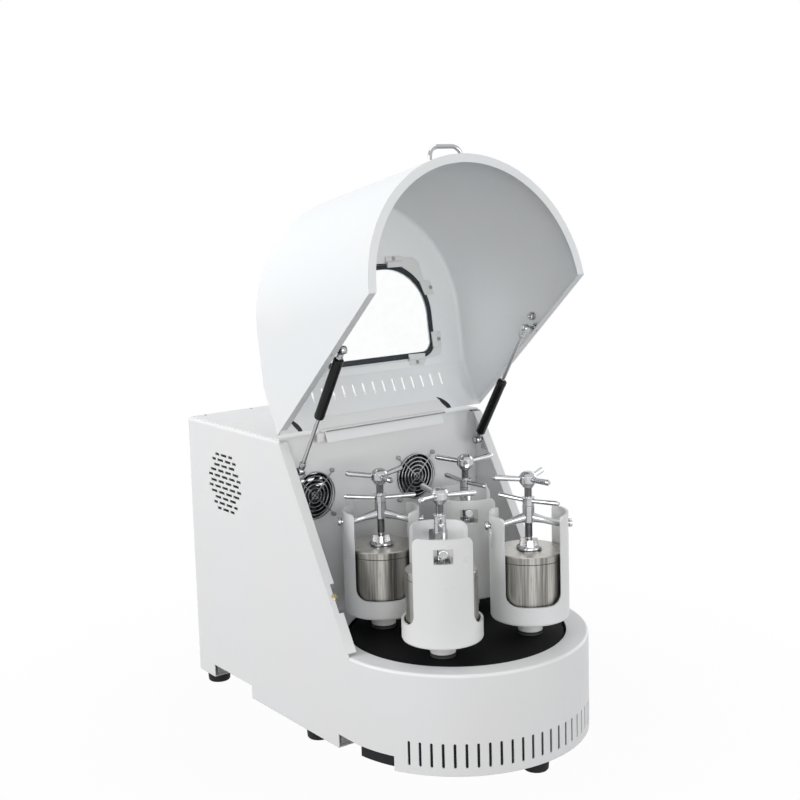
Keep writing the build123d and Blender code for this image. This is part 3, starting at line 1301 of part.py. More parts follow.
def strut_eye(side, height, direction):
    """Ball socket open towards the side panel, with a shank along the strut."""
    eye = Pos(0, 0, height) * Rot(0, 90, 0) * Cylinder(STRUT_EYE_RADIUS, 2 * STRUT_EYE_HALF_WIDTH)
    tip = height + direction * STRUT_END_LENGTH
    low, high = sorted((height + direction * 3.0, tip))
    eye = eye + rod(5.0, low, high)
    cavity = ball_stud(BALL_RADIUS + BALL_FIT, BALL_RADIUS - BALL_GRIP, 2 * STRUT_EYE_HALF_WIDTH)
    return eye - Pos(0, 0, height) * Rot(0, side * 90, 0) * cavity


def make_strut_rod(side, from_base):
    """Polished rod with the ball socket at its outer end."""
    inside = STRUT_LENGTH - STRUT_END_LENGTH
    if from_base:
        stem = rod(STRUT_ROD_RADIUS, STRUT_END_LENGTH - 2, inside - STRUT_CYLINDER_LENGTH + 12.0)
        eye = strut_eye(side, 0.0, 1)
    else:
        low = STRUT_END_LENGTH + STRUT_CYLINDER_LENGTH - 12.0
        stem = rod(STRUT_ROD_RADIUS, low, STRUT_LENGTH - STRUT_END_LENGTH + 2)
        eye = strut_eye(side, STRUT_LENGTH, -1)
    return strut_place(side) * (eye + stem)


def make_strut_cylinder(side, at_lid):
    """Pressure tube, bored for the rod, with the ball socket at its closed end."""
    if at_lid:
        high = STRUT_LENGTH - STRUT_END_LENGTH
        low = high - STRUT_CYLINDER_LENGTH
        bore = rod(STRUT_BORE_RADIUS, low - 1, high - 4.0)
        eye = strut_eye(side, STRUT_LENGTH, -1)
    else:
        low = STRUT_END_LENGTH
        high = low + STRUT_CYLINDER_LENGTH
        bore = rod(STRUT_BORE_RADIUS, low + 4.0, high + 1)
        eye = strut_eye(side, 0.0, 1)
    tube = rod(STRUT_CYLINDER_RADIUS, low, high)
    tube = chamfer(tube.edges().filter_by(GeomType.CIRCLE), 1.2)
    return strut_place(side) * (eye + tube - bore)


def ball_stud(ball_radius, neck_radius, length):
    """Ball at the origin with its neck along +Z."""
    neck_z = math.sqrt(ball_radius**2 - neck_radius**2)
    outline = Curve() + [
        ThreePointArc((0, 0, -ball_radius), (ball_radius, 0, 0), (neck_radius, 0, neck_z)),
        Line((neck_radius, 0, neck_z), (neck_radius, 0, length)),
        Line((neck_radius, 0, length), (0, 0, length)),
        Line((0, 0, length), (0, 0, -ball_radius)),
    ]
    return revolve(make_face(outline), Axis.Z)


def make_strut_brackets():
    """Ball studs on the side panels for the struts' lower ends."""
    studs = []
    for side in (-1, 1):
        stud = ball_stud(BALL_RADIUS, STUD_RADIUS, INNER - 1.0 - STRUT_SIDE)
        stud = Pos(side * STRUT_SIDE, STRUT_BASE_Y, STRUT_BASE_HEIGHT) * Rot(0, side * 90, 0) * stud
        x0, x1 = sorted((side * (INNER - 3.0), side * INNER))
        foot = block(
            x0, x1, STRUT_BASE_Y - 3, STRUT_BASE_Y + 18, STRUT_BASE_HEIGHT - 24, STRUT_BASE_HEIGHT + 3
        )
        studs.append(stud + foot)
    return studs


def make_lid_studs():
    """Studs on the hood's sides for the struts' upper ends; the joint there is left open."""
    studs = []
    for side in (-1, 1):
        x0, x1 = sorted((side * (STRUT_SIDE + STRUT_EYE_HALF_WIDTH + 0.4), side * INNER))
        neck = cross_rod(3.0, x0, x1, STRUT_LID_Y, STRUT_LID_HEIGHT)
        x0, x1 = sorted((side * (INNER - 3.0), side * INNER))
        plate = cross_rod(5.2, x0, x1, STRUT_LID_Y, STRUT_LID_HEIGHT)
        studs.append(neck + plate)
    return studs


# ---- controls ------------------------------------------------------------------------------
BUTTON_PLACES = ((34.0, 16.0), (34.0, -16.0))


def make_control_panel():
    """Flat control panel let into the drum, with a recessed display and two button holes."""
    depth = PANEL_DEPTH
    place = panel_frame(PANEL_FACE_RADIUS)
    panel = place * Pos(0, depth / 2, 0) * Box(PANEL_WIDTH, depth, PANEL_HEIGHT)
    hollow = Box(PANEL_WIDTH - 8.0, depth, PANEL_HEIGHT - 8.0)
    panel = panel - place * Pos(0, depth / 2 + 6.0, 0) * hollow
    screen = Box(DISPLAY_WIDTH, 2.0, DISPLAY_HEIGHT)
    panel = panel - place * Pos(-16.0, 0, 10.0) * screen
    for x, z in BUTTON_PLACES:
        hole = Rot(90, 0, 0) * Cylinder(BUTTON_RADIUS + BUTTON_GAP, 2 * depth)
        panel = panel - place * Pos(x, 0, z) * hole
    return panel


def make_button(index):
    """Push button with a collar behind the panel."""
    x, z = BUTTON_PLACES[index]
    place = panel_frame(PANEL_FACE_RADIUS) * Pos(x, 0, z)
    cap = Pos(0, 4.0 - BUTTON_PROUD / 2, 0) * Rot(90, 0, 0)
    cap = cap * Cylinder(BUTTON_RADIUS, 8.0 + BUTTON_PROUD)
    flange = Pos(0, 7.0 + RUNNING_GAP / 2, 0) * Rot(90, 0, 0)
    flange = flange * Cylinder(BUTTON_RADIUS + 1.5, 2.0 - RUNNING_GAP)
    return place * (cap + flange)


def make_mains_inlet():
    """Appliance inlet in the rear panel."""
    depth = 26.0
    place = Pos(INLET_OFFSET, REAR_Y - depth / 2, INLET_CENTRE_HEIGHT)
    body = place * Box(INLET_WIDTH, depth, INLET_HEIGHT)
    cup = Box(INLET_WIDTH - 12.0, 16.0, INLET_HEIGHT - 7.0)
    return body - Pos(INLET_OFFSET, REAR_Y - 7.0, INLET_CENTRE_HEIGHT) * cup


def make_switch_frame():
    """Frame of the mains switch in the rear panel, bored for the rocker's trunnions."""
    depth = 14.0
    place = Pos(SWITCH_OFFSET, REAR_Y - depth / 2, INLET_CENTRE_HEIGHT)
    frame = place * Box(SWITCH_WIDTH + 2 * SWITCH_CHEEK, depth, SWITCH_HEIGHT + 2 * SWITCH_CHEEK)
    frame = frame - place * Box(SWITCH_WIDTH, depth + 2, SWITCH_HEIGHT)
    reach = SWITCH_WIDTH / 2 + SWITCH_CHEEK + 1.0
    x0 = SWITCH_OFFSET - reach
    x1 = SWITCH_OFFSET + reach
    bore = cross_rod(TRUNNION_RADIUS + TRUNNION_FIT, x0, x1, SWITCH_PIVOT_Y, INLET_CENTRE_HEIGHT)
    return frame - bore


def make_power_switch():
    """Rocker that tilts about X between its frame's cheeks."""
    half = SWITCH_HEIGHT / 2 - 1.2
    points = [
        (SWITCH_PIVOT_Y - 4.0, INLET_CENTRE_HEIGHT - 5.0),
        (SWITCH_PIVOT_Y + 5.0, INLET_CENTRE_HEIGHT - half),
        (SWITCH_PIVOT_Y + 6.5, INLET_CENTRE_HEIGHT - half + 1),
        (SWITCH_PIVOT_Y + 4.5, INLET_CENTRE_HEIGHT),
        (SWITCH_PIVOT_Y + 6.5, INLET_CENTRE_HEIGHT + half - 1),
        (SWITCH_PIVOT_Y + 5.0, INLET_CENTRE_HEIGHT + half),
        (SWITCH_PIVOT_Y - 4.0, INLET_CENTRE_HEIGHT + 5.0),
    ]
    reach = SWITCH_WIDTH / 2 - RUNNING_GAP
    rocker = side_profile(points, SWITCH_OFFSET - reach, SWITCH_OFFSET + reach)
    reach = SWITCH_WIDTH / 2 + SWITCH_CHEEK - RUNNING_GAP
    x0 = SWITCH_OFFSET - reach
    x1 = SWITCH_OFFSET + reach
    rocker = rocker + cross_rod(TRUNNION_RADIUS, x0, x1, SWITCH_PIVOT_Y, INLET_CENTRE_HEIGHT)
    pivot = Axis((SWITCH_OFFSET, SWITCH_PIVOT_Y, INLET_CENTRE_HEIGHT), (1, 0, 0))
    return rocker.rotate(pivot, -SWITCH_TILT)


# ---- writing the pieces --------------------------------------------------------------------
def keep(name, *pieces):
    """Write one node from its solids."""
    solids = []
    for piece in pieces:
        if isinstance(piece, (list, tuple)):
            for inner in piece:
                solids += inner.solids()
        else:
            solids += piece.solids()
    export_step(Compound(solids), f"parts/{name}.step")


def write_cabinet():
    keep("body_shell", make_body_shell())
    keep("rear_cover", make_rear_cover())
    keep("deck_plate", make_deck_plate())
    keep("chamber_wall", make_chamber_wall())
    keep("rubber_feet", make_rubber_feet())
    keep("base_frame", make_base_frame())
    keep("bearing_housing", make_bearing_housing())
    keep("sun_pulley", make_sun_pulley())
    keep("drive_belt", make_drive_belt())
    keep("drive_motor", make_drive_motor())
    keep("motor_pulley", make_motor_pulley())
    keep("fan_frames", [make_fan_frame(x) for x in FAN_CENTRES])
    keep("fan_guards", [make_fan_guard(x) for x in FAN_CENTRES])
    for name, x in zip(("fan_rotor_left", "fan_rotor_right"), FAN_CENTRES):
        keep(name, make_fan_rotor(x))
    keep("control_panel", make_control_panel())
    keep("start_button", make_button(0))
    keep("stop_button", make_button(1))
    keep("mains_inlet", make_mains_inlet(), make_switch_frame())
    keep("power_switch", make_power_switch())


def write_turntable():
    keep("turntable", make_turntable())
    keep("main_shaft", make_main_shaft())
    keep("planet_bearings", make_planet_bearings())
    keep("planet_belts", make_planet_belts())


def write_planets():
    holder = make_jar_holder()
    jar = make_grinding_jar()
    beam = make_clamp_beam()
    for index in range(PLANET_COUNT):
        x, y = planet_place(index)
        place = upright_at(x, y, planet_azimuth(index) + HOLDER_SPIN_DEG)
        number = index + 1
        tier = UPPER_TIER_HEIGHT if index % 2 else LOWER_TIER_HEIGHT
        keep(f"jar_holder_{number}", place * holder)
        keep(f"planet_spindle_{number}", place * make_spindle(tier))
        keep(f"grinding_jar_{number}", [place * solid for solid in jar])
        keep(f"clamp_beam_{number}", place * beam)
        centre = Pos(x, y, 0)
        keep(f"clamp_screw_{number}", centre * make_clamp_screw(STAR_ANGLES[index]))
        keep(f"lock_nut_{number}", centre * make_lock_nut(NUT_ANGLES[index]))


def write_hood():
    keep("lid_shell", make_lid_shell())
    keep("lid_window", make_lid_window())
    keep("window_gasket", make_window_gasket())
    keep("lid_handle", make_lid_handle())
    keep("hinge_base_leaf", make_hinge_base_leaf())
    keep("hinge_lid_leaf", make_hinge_lid_leaf())
    keep("lid_studs", make_lid_studs())
    keep("strut_brackets", make_strut_brackets())
    keep("strut_rod_left", make_strut_rod(-1, True))
    keep("strut_cylinder_left", make_strut_cylinder(-1, True))
    keep("strut_cylinder_right", make_strut_cylinder(1, False))
    keep("strut_rod_right", make_strut_rod(1, False))


os.makedirs("parts", exist_ok=True)
write_cabinet()
write_turntable()
write_planets()
write_hood()
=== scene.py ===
import math

import bmesh
import bpy
from mathutils import Matrix, Vector


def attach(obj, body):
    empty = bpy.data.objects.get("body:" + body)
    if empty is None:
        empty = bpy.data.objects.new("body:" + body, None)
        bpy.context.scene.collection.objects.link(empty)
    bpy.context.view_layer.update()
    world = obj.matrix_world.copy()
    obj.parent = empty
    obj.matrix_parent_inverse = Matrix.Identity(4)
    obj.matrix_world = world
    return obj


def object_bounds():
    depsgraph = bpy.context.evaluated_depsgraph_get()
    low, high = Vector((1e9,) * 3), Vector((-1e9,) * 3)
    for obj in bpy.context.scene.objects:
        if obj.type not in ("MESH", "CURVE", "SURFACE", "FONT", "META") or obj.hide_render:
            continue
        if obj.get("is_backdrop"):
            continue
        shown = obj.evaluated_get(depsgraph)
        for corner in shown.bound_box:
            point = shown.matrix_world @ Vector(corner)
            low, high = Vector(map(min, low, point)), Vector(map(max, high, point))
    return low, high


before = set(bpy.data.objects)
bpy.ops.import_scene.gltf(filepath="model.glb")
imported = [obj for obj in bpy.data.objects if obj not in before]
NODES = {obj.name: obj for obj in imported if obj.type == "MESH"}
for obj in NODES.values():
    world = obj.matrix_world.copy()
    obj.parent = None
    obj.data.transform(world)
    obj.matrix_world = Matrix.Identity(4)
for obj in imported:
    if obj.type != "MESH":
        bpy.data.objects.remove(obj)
CAD_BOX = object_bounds()

# ---- places of the solids, in metres ---------------------------------------------------------
DRUM = Vector((0.0, -0.1525, 0.0))
HINGE = Vector((0.0, 0.0515, 0.5424))
REAR_Y = 0.3875
HALF = 0.235
SHEET = 0.002
OPEN = math.radians(102.0)
PLANET_RADIUS = 0.133
PLANET_START = -48.7
FAN_X = (-0.155, 0.080)
FAN_Z = 0.423
FAN_SCREW_REACH = 0.04125
WALL_Y = DRUM.y + 0.216
GUARD_FACE_Y = WALL_Y - 0.0059
BEND_Y = DRUM.y + 0.110
BEND_Z = 0.570
SLOPE = math.atan2(0.024, 0.333)
COLLAR_FOOT = (0.1968, 0.1976)
CAP_TOP = 0.2
CAP_SCREW_CIRCLE = 0.024
JAR_TOP = 0.3415
JAR_HUB_FOOT = 0.3430
JAR_HUB_TOP = 0.3605
BEAM_HUB_BOTTOM = 0.391
NUT_TOP = 0.4353
STAR_BOTTOM = 0.453
THREAD_RADIUS = 0.00595
THREAD_DEPTH = 0.0007
THREAD_PITCH = 0.0021
STRUT_X = 0.205
STRUT_LOW = Vector((0.0, DRUM.y + 0.176967, 0.481993))
STRUT_HIGH = Vector((0.0, DRUM.y + 0.03203, 0.711937))
TUBE_RADIUS = 0.00912
TUBE_END = 0.019 + 0.128
STAY_BOLT = (-0.1107, 0.7319)
PANEL_AZIMUTH = math.radians(68.0)
PANEL_CENTRE_Z = 0.132
PANEL_FACE = 0.2315
DISPLAY = (-0.016, 0.010)
BUTTON_X = 0.034
BUTTON_Y = 0.016
INLET = Vector((-0.150, REAR_Y, 0.095))
PLATE_X = 0.11
PLATE_Z = 0.105
FEET = [(-0.208, 0.142), (0.208, 0.142), (-0.208, 0.510), (0.208, 0.510), (0.0, -0.207)]


def planet_azimuth(index):
    return math.radians(PLANET_START + 90.0 * index)


def planet_centre(index):
    angle = planet_azimuth(index)
    return Vector((math.sin(angle), -math.cos(angle), 0.0)) * PLANET_RADIUS + DRUM


# ---- nodes of a material -------------------------------------------------------------------
class Maker:
    """Builds one procedural material."""

    def __init__(self, name):
        self.mat = bpy.data.materials.new(name)
        self.mat.use_nodes = True
        self.tree = self.mat.node_tree
        self.tree.nodes.clear()
        self.out = self.add("ShaderNodeOutputMaterial")
        self.shader = self.add("ShaderNodeBsdfPrincipled")
        self.link(self.shader.outputs["BSDF"], self.out.inputs["Surface"])
        self.place = self.add("ShaderNodeTexCoord").outputs["Object"]

    def add(self, kind, **values):
        node = self.tree.nodes.new(kind)
        for key, value in values.items():
            setattr(node, key, value)
        return node

    def link(self, source, target):
        self.tree.links.new(source, target)

    def put(self, socket, value):
        if isinstance(value, bpy.types.NodeSocket):
            self.link(value, socket)
        else:
            socket.default_value = value

    def math(self, operation, a, b=None, clamp=False):
        node = self.add("ShaderNodeMath", operation=operation, use_clamp=clamp)
        self.put(node.inputs[0], a)
        if b is not None:
            self.put(node.inputs[1], b)
        return node.outputs[0]

    def vector(self, operation, a, b=None):
        node = self.add("ShaderNodeVectorMath", operation=operation)
        self.put(node.inputs[0], a)
        if b is not None:
            self.put(node.inputs[1], b)
        return node.outputs["Value"] if operation in ("LENGTH", "DOT_PRODUCT") else node.outputs[0]

    def split(self, vector):
        node = self.add("ShaderNodeSeparateXYZ")
        self.link(vector, node.inputs[0])
        return node.outputs

    def join(self, x, y, z):
        node = self.add("ShaderNodeCombineXYZ")
        for socket, value in zip(node.inputs, (x, y, z)):
            self.put(socket, value)
        return node.outputs[0]

    def noise(self, vector, scale, detail=2.0, roughness=0.5):
        node = self.add("ShaderNodeTexNoise")
        self.link(vector, node.inputs["Vector"])
        node.inputs["Scale"].default_value = scale
        node.inputs["Detail"].default_value = detail
        node.inputs["Roughness"].default_value = roughness
        return node.outputs["Fac"]

    def fit(self, value, low, high, to_low=0.0, to_high=1.0):
        node = self.add("ShaderNodeMapRange")
        self.put(node.inputs["Value"], value)
        node.inputs["From Min"].default_value = low
        node.inputs["From Max"].default_value = high
        node.inputs["To Min"].default_value = to_low
        node.inputs["To Max"].default_value = to_high
        return node.outputs["Result"]

    def mix(self, factor, a, b, blend="MIX"):
        node = self.add("ShaderNodeMix", data_type="RGBA", blend_type=blend)
        self.put(node.inputs["Factor"], factor)
        for socket, value in zip([node.inputs[6], node.inputs[7]], (a, b)):
            if not isinstance(value, bpy.types.NodeSocket):
                value = (*value[:3], 1.0)
            self.put(socket, value)
        return node.outputs[2]

    def bump(self, height, distance, strength=1.0, normal=None):
        node = self.add("ShaderNodeBump")
        node.inputs["Strength"].default_value = strength
        node.inputs["Distance"].default_value = distance
        self.link(height, node.inputs["Height"])
        if normal is not None:
            self.link(normal, node.inputs["Normal"])
        return node.outputs["Normal"]

    def rounded(self, radius):
        node = self.add("ShaderNodeBevel", samples=4)
        node.inputs["Radius"].default_value = radius
        return node.outputs["Normal"]

    def edge_mask(self, radius):
        """1 on edges, 0 on open faces."""
        normal = self.rounded(radius)
        geometry = self.add("ShaderNodeNewGeometry").outputs["Normal"]
        return self.fit(self.vector("DOT_PRODUCT", normal, geometry), 0.98, 0.80)

    def painted_shade_mask(self, distance):
        """0 in open places, 1 in corners and gaps, from ambient occlusion; used to paint shade into
        hollows.
        """
        node = self.add("ShaderNodeAmbientOcclusion", samples=4)
        node.inputs["Distance"].default_value = distance
        return self.fit(node.outputs["AO"], 0.9, 0.35)

    def finish(self, **sockets):
        for name, value in sockets.items():
            self.put(self.shader.inputs[name.replace("_", " ")], value)
        return self.mat


def powder_coat(name, color, rough=0.36, peel=0.00006, grain=620.0):
    """Baked powder coat: fine orange peel, slightly uneven tone, soft painted shade in the corners."""
    m = Maker(name)
    cloud = m.noise(m.place, 5.0, 3.0)
    speck = m.noise(m.place, 90.0, 2.0)
    warm = [c * f for c, f in zip(color, (1.0, 0.992, 0.975))]
    cool = [min(c * f, 1.0) for c, f in zip(color, (0.985, 0.995, 1.005))]
    tone = m.mix(m.fit(cloud, 0.35, 0.65), warm, cool)
    # Painted shade: the coat is darkened in corners and gaps.
    corner_shade_tone = [c * 0.80 for c in color]
    corner = m.math("MULTIPLY", m.painted_shade_mask(0.012), 0.35)
    tone = m.mix(corner, tone, corner_shade_tone)
    worn = m.math("MULTIPLY", m.edge_mask(0.0012), m.fit(speck, 0.52, 0.66, 0.0, 0.25))
    tone = m.mix(worn, tone, [c * 0.86 for c in color])
    roughness = m.fit(m.noise(m.place, 35.0, 4.0), 0.3, 0.7, rough - 0.05, rough + 0.07)
    skin = m.noise(m.place, grain, 2.0)
    normal = m.bump(skin, peel, 0.9, m.rounded(0.0010))
    return m.finish(
        Base_Color=tone, Roughness=roughness, Normal=normal, Specular_IOR_Level=0.45
    )


def jar_steel(name, centre):
    """Drawn and turned jar: upright streaks of painted reflection on the wall, fine rings on top,
    polished hub, painted shade in the hollows.
    """
    m = Maker(name)
    flat = m.vector("SUBTRACT", m.place, tuple(centre))
    x, y, z = m.split(flat)
    radius = m.vector("LENGTH", m.join(x, y, 0.0))
    unit = m.vector("NORMALIZE", m.join(x, y, 0.0))
    ux, uy, _ = m.split(unit)
    wall = m.join(ux, uy, m.math("MULTIPLY", z, 0.4))
    # Painted reflection: upright light and dark bands round the wall stand in for the room mirrored in
    # the turned steel; the fine hairlines also give the grain's bump.
    broad_reflection_bands = m.noise(wall, 2.3, 1.0)
    fine_reflection_bands = m.noise(m.vector("ADD", wall, (3.1, 0.0, 0.0)), 13.0, 2.0, 0.6)
    hairline_grain_and_streaks = m.noise(m.vector("ADD", wall, (0.0, 5.3, 0.0)), 60.0, 2.0, 0.7)
    tone = m.mix(m.fit(broad_reflection_bands, 0.36, 0.62), (0.16, 0.156, 0.145), (0.40, 0.39, 0.365))
    tone = m.mix(m.fit(fine_reflection_bands, 0.46, 0.62, 0.0, 0.5), tone, (0.56, 0.545, 0.51))
    tone = m.mix(m.fit(hairline_grain_and_streaks, 0.52, 0.66, 0.0, 0.45), tone, (0.10, 0.098, 0.092))
    across, down = m.math("MULTIPLY", radius, 1900.0), m.math("MULTIPLY", z, 40.0)
    rings = m.noise(m.join(across, 0.0, down), 1.0, 2.0, 0.7)
    top = m.mix(m.fit(rings, 0.35, 0.65), (0.44, 0.425, 0.395), (0.62, 0.60, 0.57))
    on_top = m.math("GREATER_THAN", z, JAR_TOP)
    tone = m.mix(on_top, tone, top)
    on_hub = m.math("GREATER_THAN", z, JAR_HUB_FOOT)
    cloud = m.noise(m.place, 60.0, 3.0)
    hub = m.mix(m.fit(cloud, 0.35, 0.65), (0.36, 0.36, 0.36), (0.58, 0.58, 0.585))
    tone = m.mix(on_hub, tone, hub)
    # Painted shade: the jar is darker in the hollows.
    tone = m.mix(m.math("MULTIPLY", m.painted_shade_mask(0.007), 0.7), tone, (0.10, 0.10, 0.095))
    rough = m.math("SUBTRACT", m.fit(fine_reflection_bands, 0.3, 0.7, 0.26, 0.40), m.math("MULTIPLY", on_hub, 0.16))
    grain = m.math("MULTIPLY", hairline_grain_and_streaks, m.math("SUBTRACT", 1.0, on_hub))
    normal = m.bump(grain, 0.00008, 0.5, m.rounded(0.0007))
    return m.finish(Base_Color=tone, Roughness=rough, Metallic=1.0, Normal=normal)


def bright_metal(name, color, rough=0.14, pit=0.00003, grain=260.0, edge=0.0008):
    """Polished casting or plated steel: soft waves, pin holes and painted shade in the hollows."""
    m = Maker(name)
    wave = m.noise(m.place, 70.0, 2.0)
    pits = m.noise(m.place, grain, 4.0, 0.6)
    cloud = m.noise(m.place, 22.0, 3.0)
    tone = m.mix(m.fit(cloud, 0.35, 0.65), [c * 0.9 for c in color], color)
    # Painted shade: the metal is darker in the hollows.
    tone = m.mix(m.math("MULTIPLY", m.painted_shade_mask(0.005), 0.6), tone, [c * 0.35 for c in color])
    roughness = m.fit(cloud, 0.3, 0.7, rough * 0.6, rough * 1.5)
    normal = m.bump(wave, 0.0002, 0.5, m.bump(pits, pit, 0.6, m.rounded(edge)))
    return m.finish(Base_Color=tone, Roughness=roughness, Metallic=1.0, Normal=normal)


def moulded(name, color, rough=0.45, grain=1500.0, depth=0.00003, metallic=0.0, spec=0.5):
    """Moulded plastic, rubber or dark paint with a fine grain."""
    m = Maker(name)
    cloud = m.noise(m.place, 40.0, 3.0)
    skin = m.noise(m.place, grain, 2.0)
    tone = m.mix(m.fit(cloud, 0.35, 0.65), [c * 0.85 for c in color], [min(c * 1.12, 1) for c in color])
    scuff = m.math("MULTIPLY", m.edge_mask(0.0008), m.fit(cloud, 0.45, 0.6, 0.0, 0.3))
    tone = m.mix(scuff, tone, [min(c * 1.8 + 0.04, 1) for c in color])
    roughness = m.fit(cloud, 0.3, 0.7, rough - 0.06, rough + 0.08)
    normal = m.bump(skin, depth, 0.8, m.rounded(0.0007))
    return m.finish(
        Base_Color=tone, Roughness=roughness, Metallic=metallic, Normal=normal, Specular_IOR_Level=spec
    )


def table_paint(name):
    """Black table top: semi-gloss paint with faint turning rings and dust."""
    m = Maker(name)
    flat = m.vector("SUBTRACT", m.place, tuple(DRUM))
    x, y, _ = m.split(flat)
    radius = m.vector("LENGTH", m.join(x, y, 0.0))
    rings = m.noise(m.join(m.math("MULTIPLY", radius, 900.0), 0.0, m.math("ARCTAN2", y, x)), 1.0, 2.0)
    dust = m.noise(m.place, 260.0, 5.0, 0.75)
    cloud = m.noise(m.place, 9.0, 3.0)
    tone = m.mix(m.fit(cloud, 0.35, 0.65), (0.0045, 0.0045, 0.005), (0.0075, 0.0075, 0.0085))
    tone = m.mix(m.fit(dust, 0.62, 0.75, 0.0, 0.05), tone, (0.16, 0.16, 0.16))
    roughness = m.fit(cloud, 0.3, 0.7, 0.58, 0.68)
    normal = m.bump(rings, 0.00002, 0.5, m.rounded(0.0010))
    return m.finish(Base_Color=tone, Roughness=roughness, Normal=normal, Specular_IOR_Level=0.08)


def collar_coat(name):
    """Planet collar: grey enamel above, black like the table where it stands on it."""
    m = Maker(name)
    _, _, z = m.split(m.place)
    cloud = m.noise(m.place, 45.0, 3.0)
    pale = m.mix(m.fit(cloud, 0.35, 0.65), (0.50, 0.50, 0.49), (0.60, 0.60, 0.59))
    ring = m.fit(m.math("ADD", z, m.math("MULTIPLY", cloud, 0.0006)), *COLLAR_FOOT)
    tone = m.mix(ring, (0.008, 0.008, 0.009), pale)
    # Painted shade: the collar is darker in the hollows.
    tone = m.mix(m.math("MULTIPLY", m.painted_shade_mask(0.008), 0.5), tone, (0.20, 0.20, 0.20))
    roughness = m.fit(cloud, 0.3, 0.7, 0.34, 0.46)
    skin = m.noise(m.place, 900.0, 2.0)
    normal = m.bump(skin, 0.00003, 0.8, m.rounded(0.0009))
    return m.finish(Base_Color=tone, Roughness=roughness, Normal=normal, Specular_IOR_Level=0.35)


def clear_pane(name):
    """Clear plastic pane."""
    m = Maker(name)
    haze = m.noise(m.place, 60.0, 3.0)
    roughness = m.fit(haze, 0.3, 0.7, 0.01, 0.05)
    tone = m.mix(m.fit(haze, 0.3, 0.7), (0.97, 0.985, 0.985), (0.99, 1.0, 1.0))
    return m.finish(Base_Color=tone, Roughness=roughness, Transmission_Weight=1.0, IOR=1.2)


def lit_digits(name, color):
    """Glowing segments of the display."""
    m = Maker(name)
    glow = m.noise(m.place, 300.0, 1.0)
    tone = m.mix(m.fit(glow, 0.3, 0.7), [c * 0.8 for c in color], color)
    return m.finish(Base_Color=tone, Roughness=0.4, Emission_Color=tone, Emission_Strength=1.2)


MATERIALS = {
    "white": powder_coat("white_powder_coat", (0.79, 0.796, 0.802)),
    # The hood's coat is a brighter copy of the white coat: painted light that lifts the hood, inside and
    # out.
    "hood": powder_coat("hood_coat_brightened_for_light", (0.825, 0.842, 0.856)),
    # The grey of the hinge strip is painted shade: it stands in for the shadow line of the hinge's gap.
    "lip": moulded("grey_hinge_shadow_strip", (0.30, 0.305, 0.31), 0.5, 900.0, 0.00004, 0.0, 0.35),
    "holder": powder_coat("holder_powder_coat", (0.76, 0.765, 0.762), 0.32, 0.00004, 800.0),
    "collar": collar_coat("collar_enamel"),
    "table": table_paint("black_table_paint"),
    "chrome": bright_metal("polished_casting", (0.53, 0.535, 0.55), 0.16),
    "plated": bright_metal("plated_steel", (0.48, 0.48, 0.495), 0.12, 0.00001),
    "satin": bright_metal("satin_steel", (0.46, 0.46, 0.47), 0.28, 0.00002),
    "brass": bright_metal("yellow_zinc", (0.44, 0.38, 0.24), 0.24, 0.00002),
    "alloy": bright_metal("cast_alloy", (0.66, 0.67, 0.69), 0.35, 0.00006, 400.0),
    "iron": moulded("painted_iron", (0.05, 0.055, 0.06), 0.5, 500.0, 0.00015),
    "frame": moulded("frame_paint", (0.52, 0.52, 0.52), 0.45, 900.0, 0.00005),
    "motor": moulded("motor_paint", (0.05, 0.10, 0.17), 0.4, 500.0, 0.0001),
    "rubber": moulded("black_rubber", (0.007, 0.007, 0.008), 0.62, 1200.0, 0.00006, 0.0, 0.25),
    "belt": moulded("belt_rubber", (0.02, 0.02, 0.02), 0.7, 700.0, 0.0001),
    "gasket": moulded("gasket_rubber", (0.013, 0.020, 0.026), 0.42, 900.0, 0.00004, 0.0, 0.35),
    "plastic": moulded("black_plastic", (0.010, 0.010, 0.012), 0.42),
    "panel": moulded("panel_plastic", (0.16, 0.18, 0.20), 0.4),
    "strut": moulded("black_enamel", (0.004, 0.004, 0.0045), 0.22, 400.0, 0.00001, 0.0, 0.25),
    "green": moulded("green_plastic", (0.03, 0.32, 0.09), 0.3),
    "red": moulded("red_plastic", (0.45, 0.02, 0.02), 0.3),
    "screen": moulded("dark_screen", (0.02, 0.012, 0.012), 0.12, 300.0, 0.000005),
    "pane": clear_pane("clear_pane"),
    "digits": lit_digits("display_glow", (0.9, 0.10, 0.05)),
    "bearing": bright_metal("bearing_steel", (0.6, 0.6, 0.62), 0.2),
    "plate": powder_coat("retainer_coat", (0.70, 0.71, 0.712), 0.34, 0.00003, 900.0),
    "thread": bright_metal("screw_thread", (0.13, 0.13, 0.135), 0.24, 0.00002, 500.0, 0.0003),
    # The vent screen's near-black tone is painted shade of the inside of the drum.
    "screen_mesh": moulded("dust_screen_painted_shade", (0.018, 0.019, 0.02), 0.7, 900.0, 0.0002, 0.0, 0.15),
    "keys": moulded("key_plastic", (0.62, 0.64, 0.66), 0.4),
}

